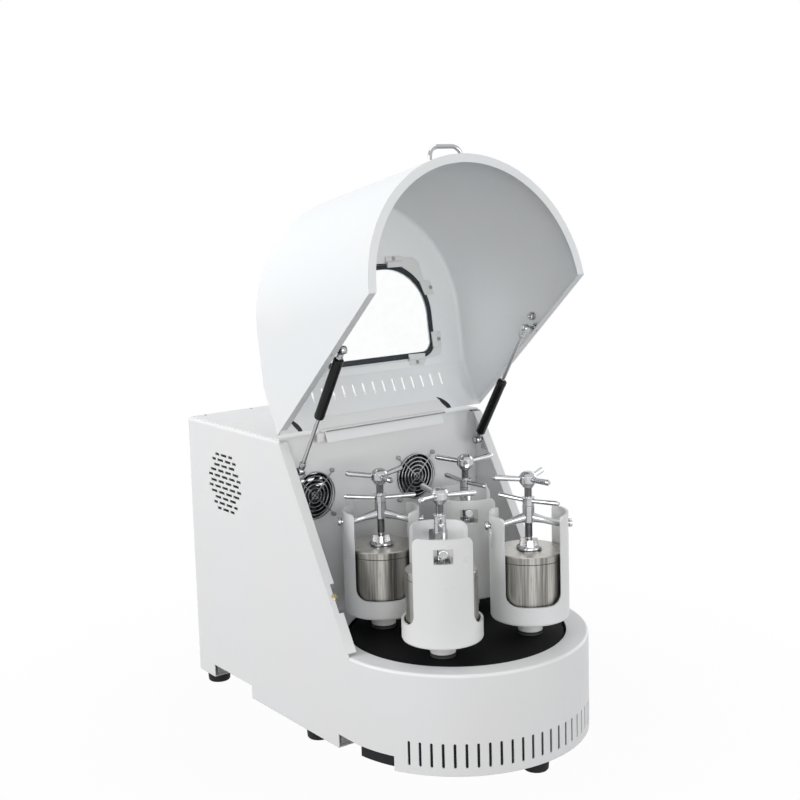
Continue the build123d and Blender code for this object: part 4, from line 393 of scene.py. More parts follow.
NODE_MATERIALS = {
    "body_shell": "white",
    "rear_cover": "white",
    "deck_plate": "white",
    "chamber_wall": "white",
    "lid_shell": "hood",
    "base_frame": "frame",
    "rubber_feet": "rubber",
    "bearing_housing": "iron",
    "sun_pulley": "alloy",
    "drive_motor": "motor",
    "motor_pulley": "alloy",
    "drive_belt": "belt",
    "planet_belts": "belt",
    "planet_bearings": "bearing",
    "main_shaft": "satin",
    "turntable": "table",
    "fan_frames": "plastic",
    "fan_guards": "plated",
    "fan_rotor_left": "plastic",
    "fan_rotor_right": "plastic",
    "hinge_base_leaf": "white",
    "hinge_lid_leaf": "white",
    "strut_brackets": "plated",
    "lid_studs": "plated",
    "strut_rod_left": "plated",
    "strut_rod_right": "plated",
    "strut_cylinder_left": "strut",
    "strut_cylinder_right": "strut",
    "control_panel": "panel",
    "start_button": "green",
    "stop_button": "red",
    "mains_inlet": "plastic",
    "power_switch": "plastic",
    "lid_window": "pane",
    "window_gasket": "gasket",
    "lid_handle": "plated",
}


def give(obj, mat):
    obj.data.materials.clear()
    obj.data.materials.append(mat)


for node_name, key in NODE_MATERIALS.items():
    give(NODES[node_name], MATERIALS[key])

for number in range(1, 5):
    centre = planet_centre(number - 1)
    give(NODES[f"grinding_jar_{number}"], jar_steel(f"turned_jar_{number}", centre))
    give(NODES[f"planet_spindle_{number}"], MATERIALS["collar"])
    give(NODES[f"jar_holder_{number}"], MATERIALS["holder"])
    for kind in ("clamp_beam", "clamp_screw", "lock_nut"):
        give(NODES[f"{kind}_{number}"], MATERIALS["chrome"])


# ---- mesh helpers --------------------------------------------------------------------------
def new_object(name, bm, mat, body, smooth_angle=35.0):
    """Makes a mesh piece that rides on a body."""
    mesh = mesh_from(name, bm, smooth_angle)
    obj = bpy.data.objects.new(name, mesh)
    bpy.context.scene.collection.objects.link(obj)
    mesh.materials.append(MATERIALS[mat])
    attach(obj, body)


def mesh_from(name, bm, smooth_angle=35.0):
    bmesh.ops.recalc_face_normals(bm, faces=bm.faces)
    mesh = bpy.data.meshes.new(name)
    bm.to_mesh(mesh)
    bm.free()
    mesh.shade_smooth()
    mesh.set_sharp_from_angle(angle=math.radians(smooth_angle))
    return mesh


def bridge_into(bm, rings):
    """Joins each ring of points to the next with quads."""
    count = len(rings[0])
    for low, high in zip(rings, rings[1:]):
        for i in range(count):
            j = (i + 1) % count
            bm.faces.new((low[i], low[j], high[j], high[i]))


def lathe_into(bm, profile, place, segments=24):
    """Adds a turned form from (radius, height) points along local Z, with both ends closed."""
    rings = []
    for radius, height in profile:
        if radius < 1e-7:
            rings.append([bm.verts.new(place @ Vector((0, 0, height)))])
            continue
        ring = []
        for step in range(segments):
            angle = 2 * math.pi * step / segments
            point = Vector((radius * math.cos(angle), radius * math.sin(angle), height))
            ring.append(bm.verts.new(place @ point))
        rings.append(ring)
    for low, high in zip(rings, rings[1:]):
        for step in range(segments):
            after = (step + 1) % segments
            corners = [
                low[step % len(low)],
                low[after % len(low)],
                high[after % len(high)],
                high[step % len(high)],
            ]
            unique = list(dict.fromkeys(corners))
            if len(unique) > 2:
                bm.faces.new(unique)
    for ring in (rings[0], rings[-1]):
        if len(ring) > 2:
            bm.faces.new(ring)


def screw_into(bm, place, radius, height):
    """Pan-head screw with a cross recess; local +Z points out of the surface."""
    rim = radius * 0.55
    profile = [
        (radius, 0.0), (radius, height * 0.35), (radius * 0.92, height * 0.75), (radius * 0.72, height),
        (rim * 0.75, height), (rim * 0.6, height * 0.35), (0.0, height * 0.3),
    ]
    lathe_into(bm, profile, place, 20)
    for turn in (0.0, math.pi / 2):
        spin = place @ Matrix.Rotation(turn, 4, "Z")
        box_into(bm, spin, (rim * 0.9, rim * 0.16, height * 0.1), (0, 0, height * 0.88))


def box_into(bm, place, half, centre=(0, 0, 0)):
    """Adds a box of the given half sizes."""
    corners = []
    for z in (-1, 1):
        for y in (-1, 1):
            for x in (-1, 1):
                offset = Vector((x * half[0], y * half[1], z * half[2])) + Vector(centre)
                corners.append(bm.verts.new(place @ offset))
    for quad in ((0, 1, 3, 2), (4, 6, 7, 5), (0, 4, 5, 1), (2, 3, 7, 6), (0, 2, 6, 4), (1, 5, 7, 3)):
        bm.faces.new([corners[i] for i in quad])


def facing(point, direction):
    """Place at a point whose +Z looks along a direction."""
    spin = Vector((0, 0, 1)).rotation_difference(Vector(direction).normalized())
    return Matrix.Translation(Vector(point)) @ spin.to_matrix().to_4x4()


FACE_DOWN = Matrix(((1, 0, 0), (0, -1, 0), (0, 0, -1))).transposed().to_4x4()


def open_hood():
    """Swing from the closed hood to the open one."""
    swing = Matrix.Rotation(-OPEN, 4, "X")
    return Matrix.Translation(HINGE) @ swing @ Matrix.Translation(-HINGE)


def hood_top_place(x, along):
    """Place on the inner face of the hood's top, local Z into the hood, given as hood closed."""
    y = DRUM.y + along
    z = BEND_Z - SHEET + (y - BEND_Y) * math.tan(SLOPE)
    return open_hood() @ Matrix.Translation((x, y, z)) @ Matrix.Rotation(SLOPE, 4, "X") @ FACE_DOWN


def sweep_into(bm, stations, section):
    """Carries a closed section of (outward, height) points round a closed row of stations."""
    rings = []
    for place, point, outward in stations:
        ring = []
        for reach, height in section:
            spot = Vector((point[0] + outward[0] * reach, point[1] + outward[1] * reach, height))
            ring.append(bm.verts.new(place @ spot))
        rings.append(ring)
    bridge_into(bm, rings + rings[:1])


def thread_into(bm, place, low, high, sides=28):
    """Adds a screw thread whose rounded crests fade out at both ends."""
    turns = (high - low) / THREAD_PITCH
    steps = int(turns * sides)
    shape = ((0.0, 0.0), (0.3, 0.85), (0.5, 1.0), (0.7, 0.85), (1.0, 0.0))
    rings = []
    for step in range(steps + 1):
        angle = 2 * math.pi * step / sides
        base = low + (high - low - THREAD_PITCH) * step / steps
        fade = min(1.0, 4.0 * step / sides, 4.0 * (steps - step) / sides)
        ring = []
        for share, rise in shape:
            r = THREAD_RADIUS + THREAD_DEPTH * rise * fade
            point = Vector((r * math.cos(angle), r * math.sin(angle), base + THREAD_PITCH * share))
            ring.append(bm.verts.new(place @ point))
        rings.append(ring)
    for a, b in zip(rings, rings[1:]):
        for i in range(len(shape) - 1):
            bm.faces.new((a[i], b[i], b[i + 1], a[i + 1]))


# ---- small hardware ------------------------------------------------------------------------
def fan_guard_screws():
    bm = bmesh.new()
    for x in FAN_X:
        for dx in (-1, 1):
            for dz in (-1, 1):
                point = (x + dx * FAN_SCREW_REACH, GUARD_FACE_Y, FAN_Z + dz * FAN_SCREW_REACH)
                screw_into(bm, facing(point, (0, -1, 0)), 0.0034, 0.0022)
    new_object("fan_guard_screws", bm, "plated", "cabinet")


def catch_pins():
    """Yellow-plated catch pins on the folded edges of the side panels."""
    bm = bmesh.new()
    slope = Vector((0, -0.863, 0.505)).normalized()
    for side in (-1, 1):
        base = Vector((side * 0.2235, DRUM.y + 0.0535, 0.284))
        place = facing(base, slope)
        lathe_into(bm, [(0.0062, 0.0), (0.0062, 0.0010), (0.0056, 0.0013)], place, 6)
        lathe_into(bm, [(0.0042, 0.0012), (0.0039, 0.0016), (0.0030, 0.0018), (0.0, 0.0019)], place)
    new_object("catch_pins", bm, "brass", "cabinet")


def hinge_screws():
    bm = bmesh.new()
    for index in range(6):
        x = -0.125 + index * 0.05
        screw_into(bm, facing((x, HINGE.y + 0.014, 0.5402), (0, 0, 1)), 0.0026, 0.0012)
    new_object("hinge_screws", bm, "satin", "cabinet")


def cover_screws():
    bm = bmesh.new()
    for x in (-0.205, -0.1, 0.1, 0.205):
        screw_into(bm, facing((x, REAR_Y - 0.016, 0.539), (0, 0, 1)), 0.003, 0.0014)
    for x in (-0.218, 0.218):
        for z in (0.08, 0.3, 0.5):
            screw_into(bm, facing((x, REAR_Y - 0.0014, z), (0, 1, 0)), 0.003, 0.0013)
    new_object("cover_screws", bm, "satin", "cabinet")


def cap_screws():
    """Socket screws round the clamping cap in the middle of the table."""
    bm = bmesh.new()
    for index in range(6):
        angle = math.radians(60.0 * index + 15.0)
        across, deep = CAP_SCREW_CIRCLE * math.cos(angle), CAP_SCREW_CIRCLE * math.sin(angle)
        place = facing(DRUM + Vector((across, deep, CAP_TOP)), (0, 0, 1))
        profile = [
            (0.0045, 0.0), (0.0045, 0.0042), (0.0041, 0.0048), (0.0024, 0.0048),
            (0.0024, 0.0018), (0.0, 0.0016),
        ]
        lathe_into(bm, profile, place)
    new_object("cap_screws", bm, "satin", "turntable")


WINDOW_HALF, WINDOW_FRONT, WINDOW_REAR = 0.152, -0.083, 0.082
FRONT_RADIUS, REAR_RADIUS = 0.093, 0.020


def window_stations(side):
    """Points and outward directions round one half of the window, front middle to rear middle."""
    points = []
    front_x = WINDOW_HALF - FRONT_RADIUS
    rear_x = WINDOW_HALF - REAR_RADIUS
    front_y = WINDOW_FRONT + FRONT_RADIUS
    rear_y = WINDOW_REAR - REAR_RADIUS
    for step in range(5):
        points.append((front_x * step / 4, WINDOW_FRONT, 0.0, -1.0))
    for step in range(1, 25):
        angle = math.pi / 2 * step / 24
        n = (math.sin(angle), -math.cos(angle))
        points.append((front_x + FRONT_RADIUS * n[0], front_y + FRONT_RADIUS * n[1], *n))
    for step in range(1, 5):
        points.append((WINDOW_HALF, front_y + (rear_y - front_y) * step / 4, 1.0, 0.0))
    for step in range(1, 11):
        angle = math.pi / 2 * step / 10
        n = (math.cos(angle), math.sin(angle))
        points.append((rear_x + REAR_RADIUS * n[0], rear_y + REAR_RADIUS * n[1], *n))
    for step in range(1, 9):
        points.append((rear_x * (1 - step / 8), WINDOW_REAR, 0.0, 1.0))
    return [(x * side, y, nx * side, ny) for x, y, nx, ny in points]


def arc(centre, radius, start, end, steps=10):
    """Plan points on an arc; the angle is measured from the hinge side towards the right."""
    points = []
    for step in range(steps + 1):
        angle = math.radians(start + (end - start) * step / steps)
        points.append((centre[0] + radius * math.sin(angle), centre[1] + radius * math.cos(angle)))
    return points


def on_hood(points, side):
    """Plan points of the closed hood in millimetres, as points of the inner face's own place."""
    return [(side * x / 1000.0, -y / 1000.0 / math.cos(SLOPE)) for x, y in points]


def window_retainers():
    """Four corner retainers of the pane, with raised tabs and screws, and the strip behind them."""
    front = [
        (67, -107), (104, -107), (108, -104), (132, -103), (146, -92.5), (153.5, -57),
        (169, -54), (175.5, -27), (158, -27),
    ] + arc((59, 10), 104.5, 114, 153) + [(102, -90), (67, -90)]
    rear = [
        (164, 46), (181, 46.5), (179.5, 78), (176, 91), (141, 95.5), (131, 108.7), (99, 106),
        (95, 92), (130, 93.2),
    ] + arc((132, 62), 31.5, 10, 80) + [(164, 60)]
    tabs = (
        [(66, -86), (101, -86), (103, -97), (67, -97)],
        [(139, -55), (150, -54), (160.5, -27), (149.5, -27)],
        [(155, 46), (167, 46.3), (167, 77), (155.6, 76.7)],
        [(93, 84.6), (134, 86), (132, 96.5), (96, 95.8)],
    )
    spots = ((85.4, -102.5), (168.0, -41.0), (174.5, 61.3), (115.7, 101.5))
    plates = bmesh.new()
    screws = bmesh.new()
    base = hood_top_place(0.0, 0.0)
    for side in (-1, 1):
        for outline in (front, rear):
            plate_into(plates, base, on_hood(outline, side), 0.0, 0.0030, None, 0.0005)
        for outline in tabs:
            plate_into(plates, base, on_hood(outline, side), 0.0028, 0.0085, None, 0.0010)
        for x, y in on_hood(spots, side):
            screw_into(screws, base @ Matrix.Translation((x, y, 0.0030)), 0.0038, 0.0024)
    new_object("window_retainers", plates, "plate", "lid")
    strip = bmesh.new()
    corners = [(-184, 96.5), (184, 96.5), (184, 109.5), (-184, 109.5)]
    plate_into(strip, base, on_hood(corners, 1), 0.0, 0.0014)
    new_object("stiffener", strip, "hood", "lid")
    new_object("retainer_screws", screws, "satin", "lid")


def gasket_lip():
    """Outer lip of the rubber frame, which shows round the pane from inside the hood."""
    bm = bmesh.new()
    section = [(0.0088, 0.0), (0.0109, 0.0), (0.0109, 0.0034), (0.0098, 0.0046), (0.0088, 0.0046)]
    base = hood_top_place(0.0, 0.0)
    stations = []
    for side in (1, -1):
        half = window_stations(side)
        if side < 0:
            half = half[::-1][1:-1]
        for x, y, nx, ny in half:
            stations.append((base, (x, -y / math.cos(SLOPE)), (nx, -ny)))
    sweep_into(bm, stations, section)
    new_object("gasket_lip", bm, "gasket", "lid")


def clamp_threads():
    """Thread of each clamp screw where it shows, under the beam and over the lock nut."""
    for number in range(1, 5):
        centre = planet_centre(number - 1)
        bm = bmesh.new()
        place = Matrix.Translation(centre)
        thread_into(bm, place, JAR_HUB_TOP + 0.003, BEAM_HUB_BOTTOM - 0.0004)
        thread_into(bm, place, NUT_TOP + 0.0004, STAR_BOTTOM + 0.001)
        new_object(f"clamp_thread_{number}", bm, "thread", f"clamp_screw_{number}", 50.0)


# (radius, depth of the lobes, height) up the flange
HUB_LEVELS = (
    (0.0175, 0.0030, 0.34245), (0.0190, 0.0042, 0.3432), (0.0192, 0.0044, 0.3462),
    (0.0184, 0.0038, 0.3476), (0.0172, 0.0012, 0.3484), (0.0168, 0.0002, 0.3500),
)
HUB_STEPS = 64
HUB_TURN = 0.35


def hub_flanges():
    """Lobed flange round the foot of each jar's hub."""
    for number in range(1, 5):
        place = Matrix.Translation(planet_centre(number - 1))
        bm = bmesh.new()
        rings = []
        for radius, lobe, height in HUB_LEVELS:
            ring = []
            for step in range(HUB_STEPS):
                angle = 2 * math.pi * step / HUB_STEPS
                reach = radius + lobe * abs(math.cos(2 * (angle - HUB_TURN))) ** 1.6
                point = Vector((reach * math.cos(angle), reach * math.sin(angle), height))
                ring.append(bm.verts.new(place @ point))
            rings.append(ring)
        bridge_into(bm, rings)
        bm.faces.new(rings[-1])
        bm.faces.new(rings[0])
        new_object(f"hub_flange_{number}", bm, "chrome", f"planet_{number}", 40.0)


def strut_axis(side):
    """Place at the lower ball whose local Z runs up the strut and whose X looks outwards."""
    along = (STRUT_HIGH - STRUT_LOW).normalized()
    x = Vector((side, 0, 0))
    y = along.cross(x)
    turn = Matrix((x, y, along)).transposed().to_4x4()
    base = STRUT_LOW.copy()
    base.x = side * STRUT_X
    return Matrix.Translation(base) @ turn


def strut_end(side, at_top):
    """Place at one ball of a strut, local Z running into the strut."""
    place = strut_axis(side)
    if not at_top:
        return place
    length = (STRUT_HIGH - STRUT_LOW).length
    return place @ Matrix.Translation((0, 0, length)) @ Matrix.Rotation(math.pi, 4, "X")


def strut_fittings():
    """Plated ball sockets with a lock nut at both ends of each gas strut."""
    head = [
        (0.0, -0.0064), (0.0048, -0.0063), (0.0066, -0.0056), (0.0075, -0.0040), (0.0077, 0.0),
        (0.0075, 0.0040), (0.0066, 0.0058), (0.0052, 0.0062), (0.0052, 0.0040),
    ]
    shank = [(0.0046, 0.0055), (0.0054, 0.0070), (0.0056, 0.0095), (0.0056, 0.0128)]
    nut = [(0.0060, 0.0128), (0.0066, 0.0133), (0.0066, 0.0166), (0.0060, 0.0171)]
    neck = [(0.0044, 0.0171), (0.0044, 0.0189), (0.0054, 0.0192)]
    for side, word in ((-1, "left"), (1, "right")):
        for at_top in (False, True):
            is_rod = at_top == (side > 0)
            body = f"strut_rod_{word}" if is_rod else f"strut_cylinder_{word}"
            bm = bmesh.new()
            place = strut_end(side, at_top)
            lathe_into(bm, head, place @ Matrix.Rotation(math.pi / 2, 4, "Y"), 32)
            lathe_into(bm, shank, place)
            lathe_into(bm, nut, place, 6)
            lathe_into(bm, neck, place)
            new_object(f"strut_fitting_{word}_{'high' if at_top else 'low'}", bm, "plated", body)


def strut_collars():
    """Rolled collar and rod guide at the open end of each pressure tube."""
    end = TUBE_END
    collar = [
        (TUBE_RADIUS, end - 0.0085), (0.00945, end - 0.0078), (0.00945, end - 0.0060),
        (TUBE_RADIUS, end - 0.0052), (TUBE_RADIUS, end - 0.0014),
    ]
    guide = [
        (0.0085, end - 0.0002), (0.0062, end + 0.0006), (0.0044, end + 0.0006), (0.0042, end - 0.0002),
    ]
    for side, word in ((-1, "left"), (1, "right")):
        place = strut_end(side, side < 0)
        bm = bmesh.new()
        lathe_into(bm, collar, place, 32)
        lathe_into(bm, guide, place, 32)
        new_object(f"strut_collar_{word}", bm, "strut", f"strut_cylinder_{word}")


def hood_bolts():
    """Washers and domed nuts of the ball studs, inside the hood's sides."""
    bm = bmesh.new()
    washer = [(0.0085, -0.0002), (0.0085, 0.0010), (0.0078, 0.0014), (0.0035, 0.0014)]
    nut = [(0.0058, 0.0012), (0.0064, 0.0018), (0.0064, 0.0052), (0.0058, 0.0058), (0.0032, 0.0060)]
    for side in (-1, 1):
        point = (side * (HALF - SHEET - 0.0030), STRUT_HIGH.y, STRUT_HIGH.z)
        place = facing(point, (-side, 0, 0))
        lathe_into(bm, washer, place, 28)
        lathe_into(bm, nut, place, 6)
    new_object("hood_bolts", bm, "plated", "lid")


def stay_bolts():
    """Second bolt of each strut's stay, on the inner side of the hood."""
    bm = bmesh.new()
    washer = [(0.0080, -0.0002), (0.0080, 0.0012), (0.0074, 0.0016), (0.0040, 0.0016)]
    nut = [(0.0064, 0.0014), (0.0070, 0.0020), (0.0070, 0.0072), (0.0064, 0.0078), (0.0034, 0.0078)]
    end = [(0.0034, 0.0060), (0.0034, 0.0108), (0.0026, 0.0116), (0.0, 0.0116)]
    for side in (-1, 1):
        place = facing((side * (HALF - SHEET), *STAY_BOLT), (-side, 0, 0))
        lathe_into(bm, washer, place, 28)
        lathe_into(bm, nut, place, 6)
        lathe_into(bm, end, place, 20)
    new_object("stay_bolts", bm, "plated", "lid")


def corner_shadow_patches():
    """Dark rubber patches at both ends of the hood's rear edge, painted shade that stands in for the
    dark relief gaps there.
    """
    bm = bmesh.new()
    drop = math.atan2(0.023, 0.0898)
    bend = Matrix.Translation((0, BEND_Y, BEND_Z - SHEET))
    base = open_hood() @ bend @ Matrix.Rotation(-drop, 4, "X") @ FACE_DOWN
    left = [(-200, 22), (-191, 27), (-184, 34), (-180, 41), (-179, 46.5), (-186, 46.5), (-193, 36)]
    right = [(139, 22), (149, 26), (158, 33), (164, 40), (166, 46.5), (157, 46.5), (148, 36)]
    for outline in (left, right):
        points = [(x / 1000.0, -(y / 1000.0 - BEND_Y) / math.cos(drop)) for x, y in outline]
        plate_into(bm, base, points, -0.0001, 0.0012, None, 0.0002)
    new_object("corner_shadow_patches", bm, "gasket", "lid")


def prism_into(bm, section, low_x, high_x):
    """Prism along X of a section given as (y, z)."""
    rings = [[bm.verts.new((x, y, z)) for y, z in section] for x in (low_x, high_x)]
    bridge_into(bm, rings)
    bm.faces.new(rings[0])
    bm.faces.new(rings[1])


def hinge_cover():
    """Folded drip rail in front of the hinge, and a dark grey strip over the hinge's gap that stands in
    for its shadow line.
    """
    y, z = HINGE.y, HINGE.z
    bm = bmesh.new()
    section = [
        (y + 0.0001, z - 0.0030), (y - 0.0012, z - 0.0026), (y - 0.0092, z - 0.0190),
        (y - 0.0090, z - 0.0222), (y - 0.0078, z - 0.0222), (y - 0.0079, z - 0.0192),
        (y + 0.0001, z - 0.0046),
    ]
    prism_into(bm, section, -0.134, 0.138)
    new_object("hinge_cover", bm, "hood", "cabinet")
    # Painted shade: a dark strip over the hinge's gap in place of its shadow line.
    bm = bmesh.new()
    lip = [
        (y - 0.0020, z - 0.0032), (y - 0.0046, z - 0.0028), (y - 0.0046, z - 0.0008),
        (y - 0.0020, z - 0.0004),
    ]
    prism_into(bm, lip, -0.131, 0.145)
    new_object("hinge_shadow_strip", bm, "lip", "cabinet")


def vent_screen():
    """Screen that hides the floor behind the slots of the drum; its near-black tone is painted shade of
    the drum's inside.
    """
    bm = bmesh.new()
    steps = 72
    rings = []
    for step in range(steps + 1):
        angle = math.radians(-84.0 + 168.0 * step / steps)
        way = Vector((math.sin(angle), -math.cos(angle), 0.0))
        ring = []
        for radius, height in ((0.2322, 0.026), (0.2322, 0.083), (0.2310, 0.083), (0.2310, 0.026)):
            ring.append(bm.verts.new(DRUM + way * radius + Vector((0, 0, height))))
        rings.append(ring)
    bridge_into(bm, rings)
    bm.faces.new(rings[0])
    bm.faces.new(rings[-1])
    new_object("vent_screen", bm, "screen_mesh", "cabinet")


def inlet_pins():
    bm = bmesh.new()
    for dx, dz in ((-0.009, -0.002), (0.0, 0.003), (0.009, -0.002)):
        base = INLET + Vector((dx, -0.0150, dz))
        section = [(-0.0010, -0.0025), (0.0010, -0.0025), (0.0010, 0.0025), (-0.0010, 0.0025)]
        tip = [(x * 0.6, z * 0.8) for x, z in section]
        rings = []
        for outline, height in ((section, 0.0), (section, 0.0098), (tip, 0.0110)):
            rings.append([bm.verts.new(base + Vector((x, height, z))) for x, z in outline])
        bridge_into(bm, rings)
        bm.faces.new(rings[-1])
        bm.faces.new(rings[0])
    new_object("inlet_pins", bm, "brass", "cabinet")


def panel_place(across=0.0, up=0.0, out=0.0):
    """Place on the control panel, local Z outwards, X to its right, Y up."""
    outward = Vector((math.sin(PANEL_AZIMUTH), -math.cos(PANEL_AZIMUTH), 0.0))
    right = Vector((math.cos(PANEL_AZIMUTH), math.sin(PANEL_AZIMUTH), 0.0))
    up_way = Vector((0, 0, 1))
    base = DRUM + outward * (PANEL_FACE + out) + right * across + up_way * (PANEL_CENTRE_Z + up)
    return Matrix.Translation(base) @ Matrix((right, up_way, outward)).transposed().to_4x4()


def rounded_outline(half_x, half_y, radius, steps=6):
    points = []
    for cx, cy, start in ((1, 1, 0), (-1, 1, 90), (-1, -1, 180), (1, -1, 270)):
        for step in range(steps + 1):
            angle = math.radians(start + 90.0 * step / steps)
            x = cx * (half_x - radius) + radius * math.cos(angle)
            y = cy * (half_y - radius) + radius * math.sin(angle)
            points.append((x, y))
    return points


def plate_into(bm, place, outline, low, high, hole=None, bevel=0.0003):
    """Flat plate with bevelled upper edge, and an optional hole of the same point count."""
    def ring(points, scale, z):
        return [bm.verts.new(place @ Vector((x * scale, y * scale, z))) for x, y in points]

    span = max(abs(x) for x, y in outline)
    shrink = 1.0 - bevel / span
    rings = [ring(outline, 1.0, low), ring(outline, 1.0, high - bevel), ring(outline, shrink, high)]
    if hole:
        rings.append(ring(hole, 1.0, high))
        rings.append(ring(hole, 1.0, low))
    bridge_into(bm, rings)
    if not hole:
        bm.faces.new(rings[-1])


SEGMENTS = {"0": "abcdef", "3": "abgcd", "5": "afgcd"}


def digit_into(bm, place, width, height, lit):
    """Seven-segment digit from slim bars with pointed ends."""
    t = width * 0.16
    bars = {
        "a": ((-width / 2, height / 2), (width / 2, height / 2)),
        "g": ((-width / 2, 0), (width / 2, 0)),
        "d": ((-width / 2, -height / 2), (width / 2, -height / 2)),
        "f": ((-width / 2, height / 2), (-width / 2, 0)),
        "b": ((width / 2, height / 2), (width / 2, 0)),
        "e": ((-width / 2, 0), (-width / 2, -height / 2)),
        "c": ((width / 2, 0), (width / 2, -height / 2)),
    }
    for key in lit:
        start, end = (Vector(p) for p in bars[key])
        way = (end - start).normalized()
        side = Vector((-way.y, way.x))
        a = start + way * t * 0.6
        b = end - way * t * 0.6
        tips = start + way * t * 0.12, end - way * t * 0.12
        half = side * t / 2
        ends = [tips[0], a + half, b + half, tips[1], b - half, a - half]
        low = [bm.verts.new(place @ Vector((p.x, p.y, 0.0))) for p in ends]
        high = [bm.verts.new(place @ Vector((p.x, p.y, 0.0003))) for p in ends]
        bm.faces.new(high)
        bridge_into(bm, [low, high])


def control_marks():
    """Screen, digits, rings, keys and screws of the control panel."""
    bm = bmesh.new()
    glass = rounded_outline(0.0285, 0.0145, 0.001)
    plate_into(bm, panel_place(*DISPLAY, -0.0009), glass, 0.0, 0.0004)
    new_object("panel_screen", bm, "screen", "cabinet")
    bm = bmesh.new()
    for index, figure in enumerate("0350"):
        place = panel_place(DISPLAY[0] - 0.0195 + 0.013 * index, DISPLAY[1], -0.00045)
        digit_into(bm, place, 0.0068, 0.0150, SEGMENTS[figure])
    new_object("panel_digits", bm, "digits", "cabinet")
    bm = bmesh.new()
    ring = [
        (0.0086, -0.0002), (0.0118, -0.0002), (0.0118, 0.0010), (0.0110, 0.0016),
        (0.0092, 0.0016), (0.0086, 0.0010),
    ]
    for up in (BUTTON_Y, -BUTTON_Y):
        lathe_into(bm, ring, panel_place(BUTTON_X, up, 0.0), 40)
    outer = rounded_outline(0.0305, 0.0165, 0.002)
    inner = rounded_outline(0.0288, 0.0148, 0.001)
    plate_into(bm, panel_place(*DISPLAY), outer, -0.0002, 0.0008, inner)
    new_object("panel_rings", bm, "satin", "cabinet")
    bm = bmesh.new()
    for index in range(3):
        place = panel_place(-0.034 + 0.018 * index, -0.019, 0.0)
        lathe_into(bm, [(0.0052, -0.0002), (0.0052, 0.0006), (0.0046, 0.0011), (0.0, 0.0013)], place, 32)
    new_object("panel_keys", bm, "keys", "cabinet")
    bm = bmesh.new()
    for dx in (-1, 1):
        for dy in (-1, 1):
            screw_into(bm, panel_place(0.0485 * dx, 0.0325 * dy, 0.0), 0.0021, 0.0010)
    new_object("panel_screws", bm, "satin", "cabinet")


def foot_bolts():
    """Washer and bolt head in the hollow of each rubber foot."""
    bm = bmesh.new()
    for x, along in FEET:
        place = facing((x, DRUM.y + along, 0.0), (0, 0, 1))
        collar = [(0.0236, 0.0185), (0.0240, 0.0192), (0.0240, 0.0199), (0.0228, 0.0199)]
        lathe_into(bm, collar, place, 36)
        top = facing((x, DRUM.y + along, 0.022), (0, 0, 1))
        lathe_into(bm, [(0.009, 0.0), (0.009, 0.0012), (0.0084, 0.0015)], top, 28)
        lathe_into(bm, [(0.0062, 0.0014), (0.0062, 0.0058), (0.0056, 0.0064)], top, 6)
    new_object("foot_bolts", bm, "satin", "cabinet")


def blank_plate():
    """Bare plate on the rear panel."""
    bm = bmesh.new()
    place = facing((PLATE_X, REAR_Y - 0.0001, PLATE_Z), (0, 1, 0))
    plate_into(bm, place, rounded_outline(0.034, 0.021, 0.003), -0.0001, 0.0005)
    new_object("blank_plate", bm, "satin", "cabinet")


fan_guard_screws()
catch_pins()
hinge_screws()
cover_screws()
cap_screws()
window_retainers()
gasket_lip()
clamp_threads()
hub_flanges()
strut_fittings()
strut_collars()
hood_bolts()
stay_bolts()
corner_shadow_patches()
hinge_cover()
vent_screen()
inlet_pins()
control_marks()
foot_bolts()
blank_plate()


# ---- camera and light ----------------------------------------------------------------------
SKY = 0.36
CAMERA_PLACE = Vector((-1.444, -1.9565, 0.994))
CAMERA_TURN = (36.506, -7.753, -1.603)
FOCAL_SHARE = 1335.3 / 800.0
SENSOR = 36.0


def add_camera():
    data = bpy.data.cameras.new("camera")
    camera = bpy.data.objects.new("camera", data)
    bpy.context.scene.collection.objects.link(camera)
    yaw, pitch, roll = (math.radians(v) for v in CAMERA_TURN)
    flat = math.cos(pitch)
    forward = Vector((math.sin(yaw) * flat, math.cos(yaw) * flat, math.sin(pitch)))
    level = Vector((math.cos(yaw), -math.sin(yaw), 0.0))
    upward = level.cross(forward)
    right = level * math.cos(roll) + upward * math.sin(roll)
    up = upward * math.cos(roll) - level * math.sin(roll)
    turn = Matrix((right, up, -forward)).transposed().to_4x4()
    camera.matrix_world = Matrix.Translation(CAMERA_PLACE) @ turn
    data.sensor_width = SENSOR
    data.lens = FOCAL_SHARE * SENSOR
    data.shift_y = -0.0501
    data.clip_end = 100.0
    bpy.context.scene.camera = camera


def add_lamp(name, place, target, size, power):
    data = bpy.data.lights.new(name, "AREA")
    data.shape = "RECTANGLE"
    data.size, data.size_y = size
    data.energy = power
    lamp = bpy.data.objects.new(name, data)
    bpy.context.scene.collection.objects.link(lamp)
    aim = (Vector(target) - Vector(place)).to_track_quat("-Z", "Y")
    lamp.matrix_world = Matrix.Translation(Vector(place)) @ aim.to_matrix().to_4x4()


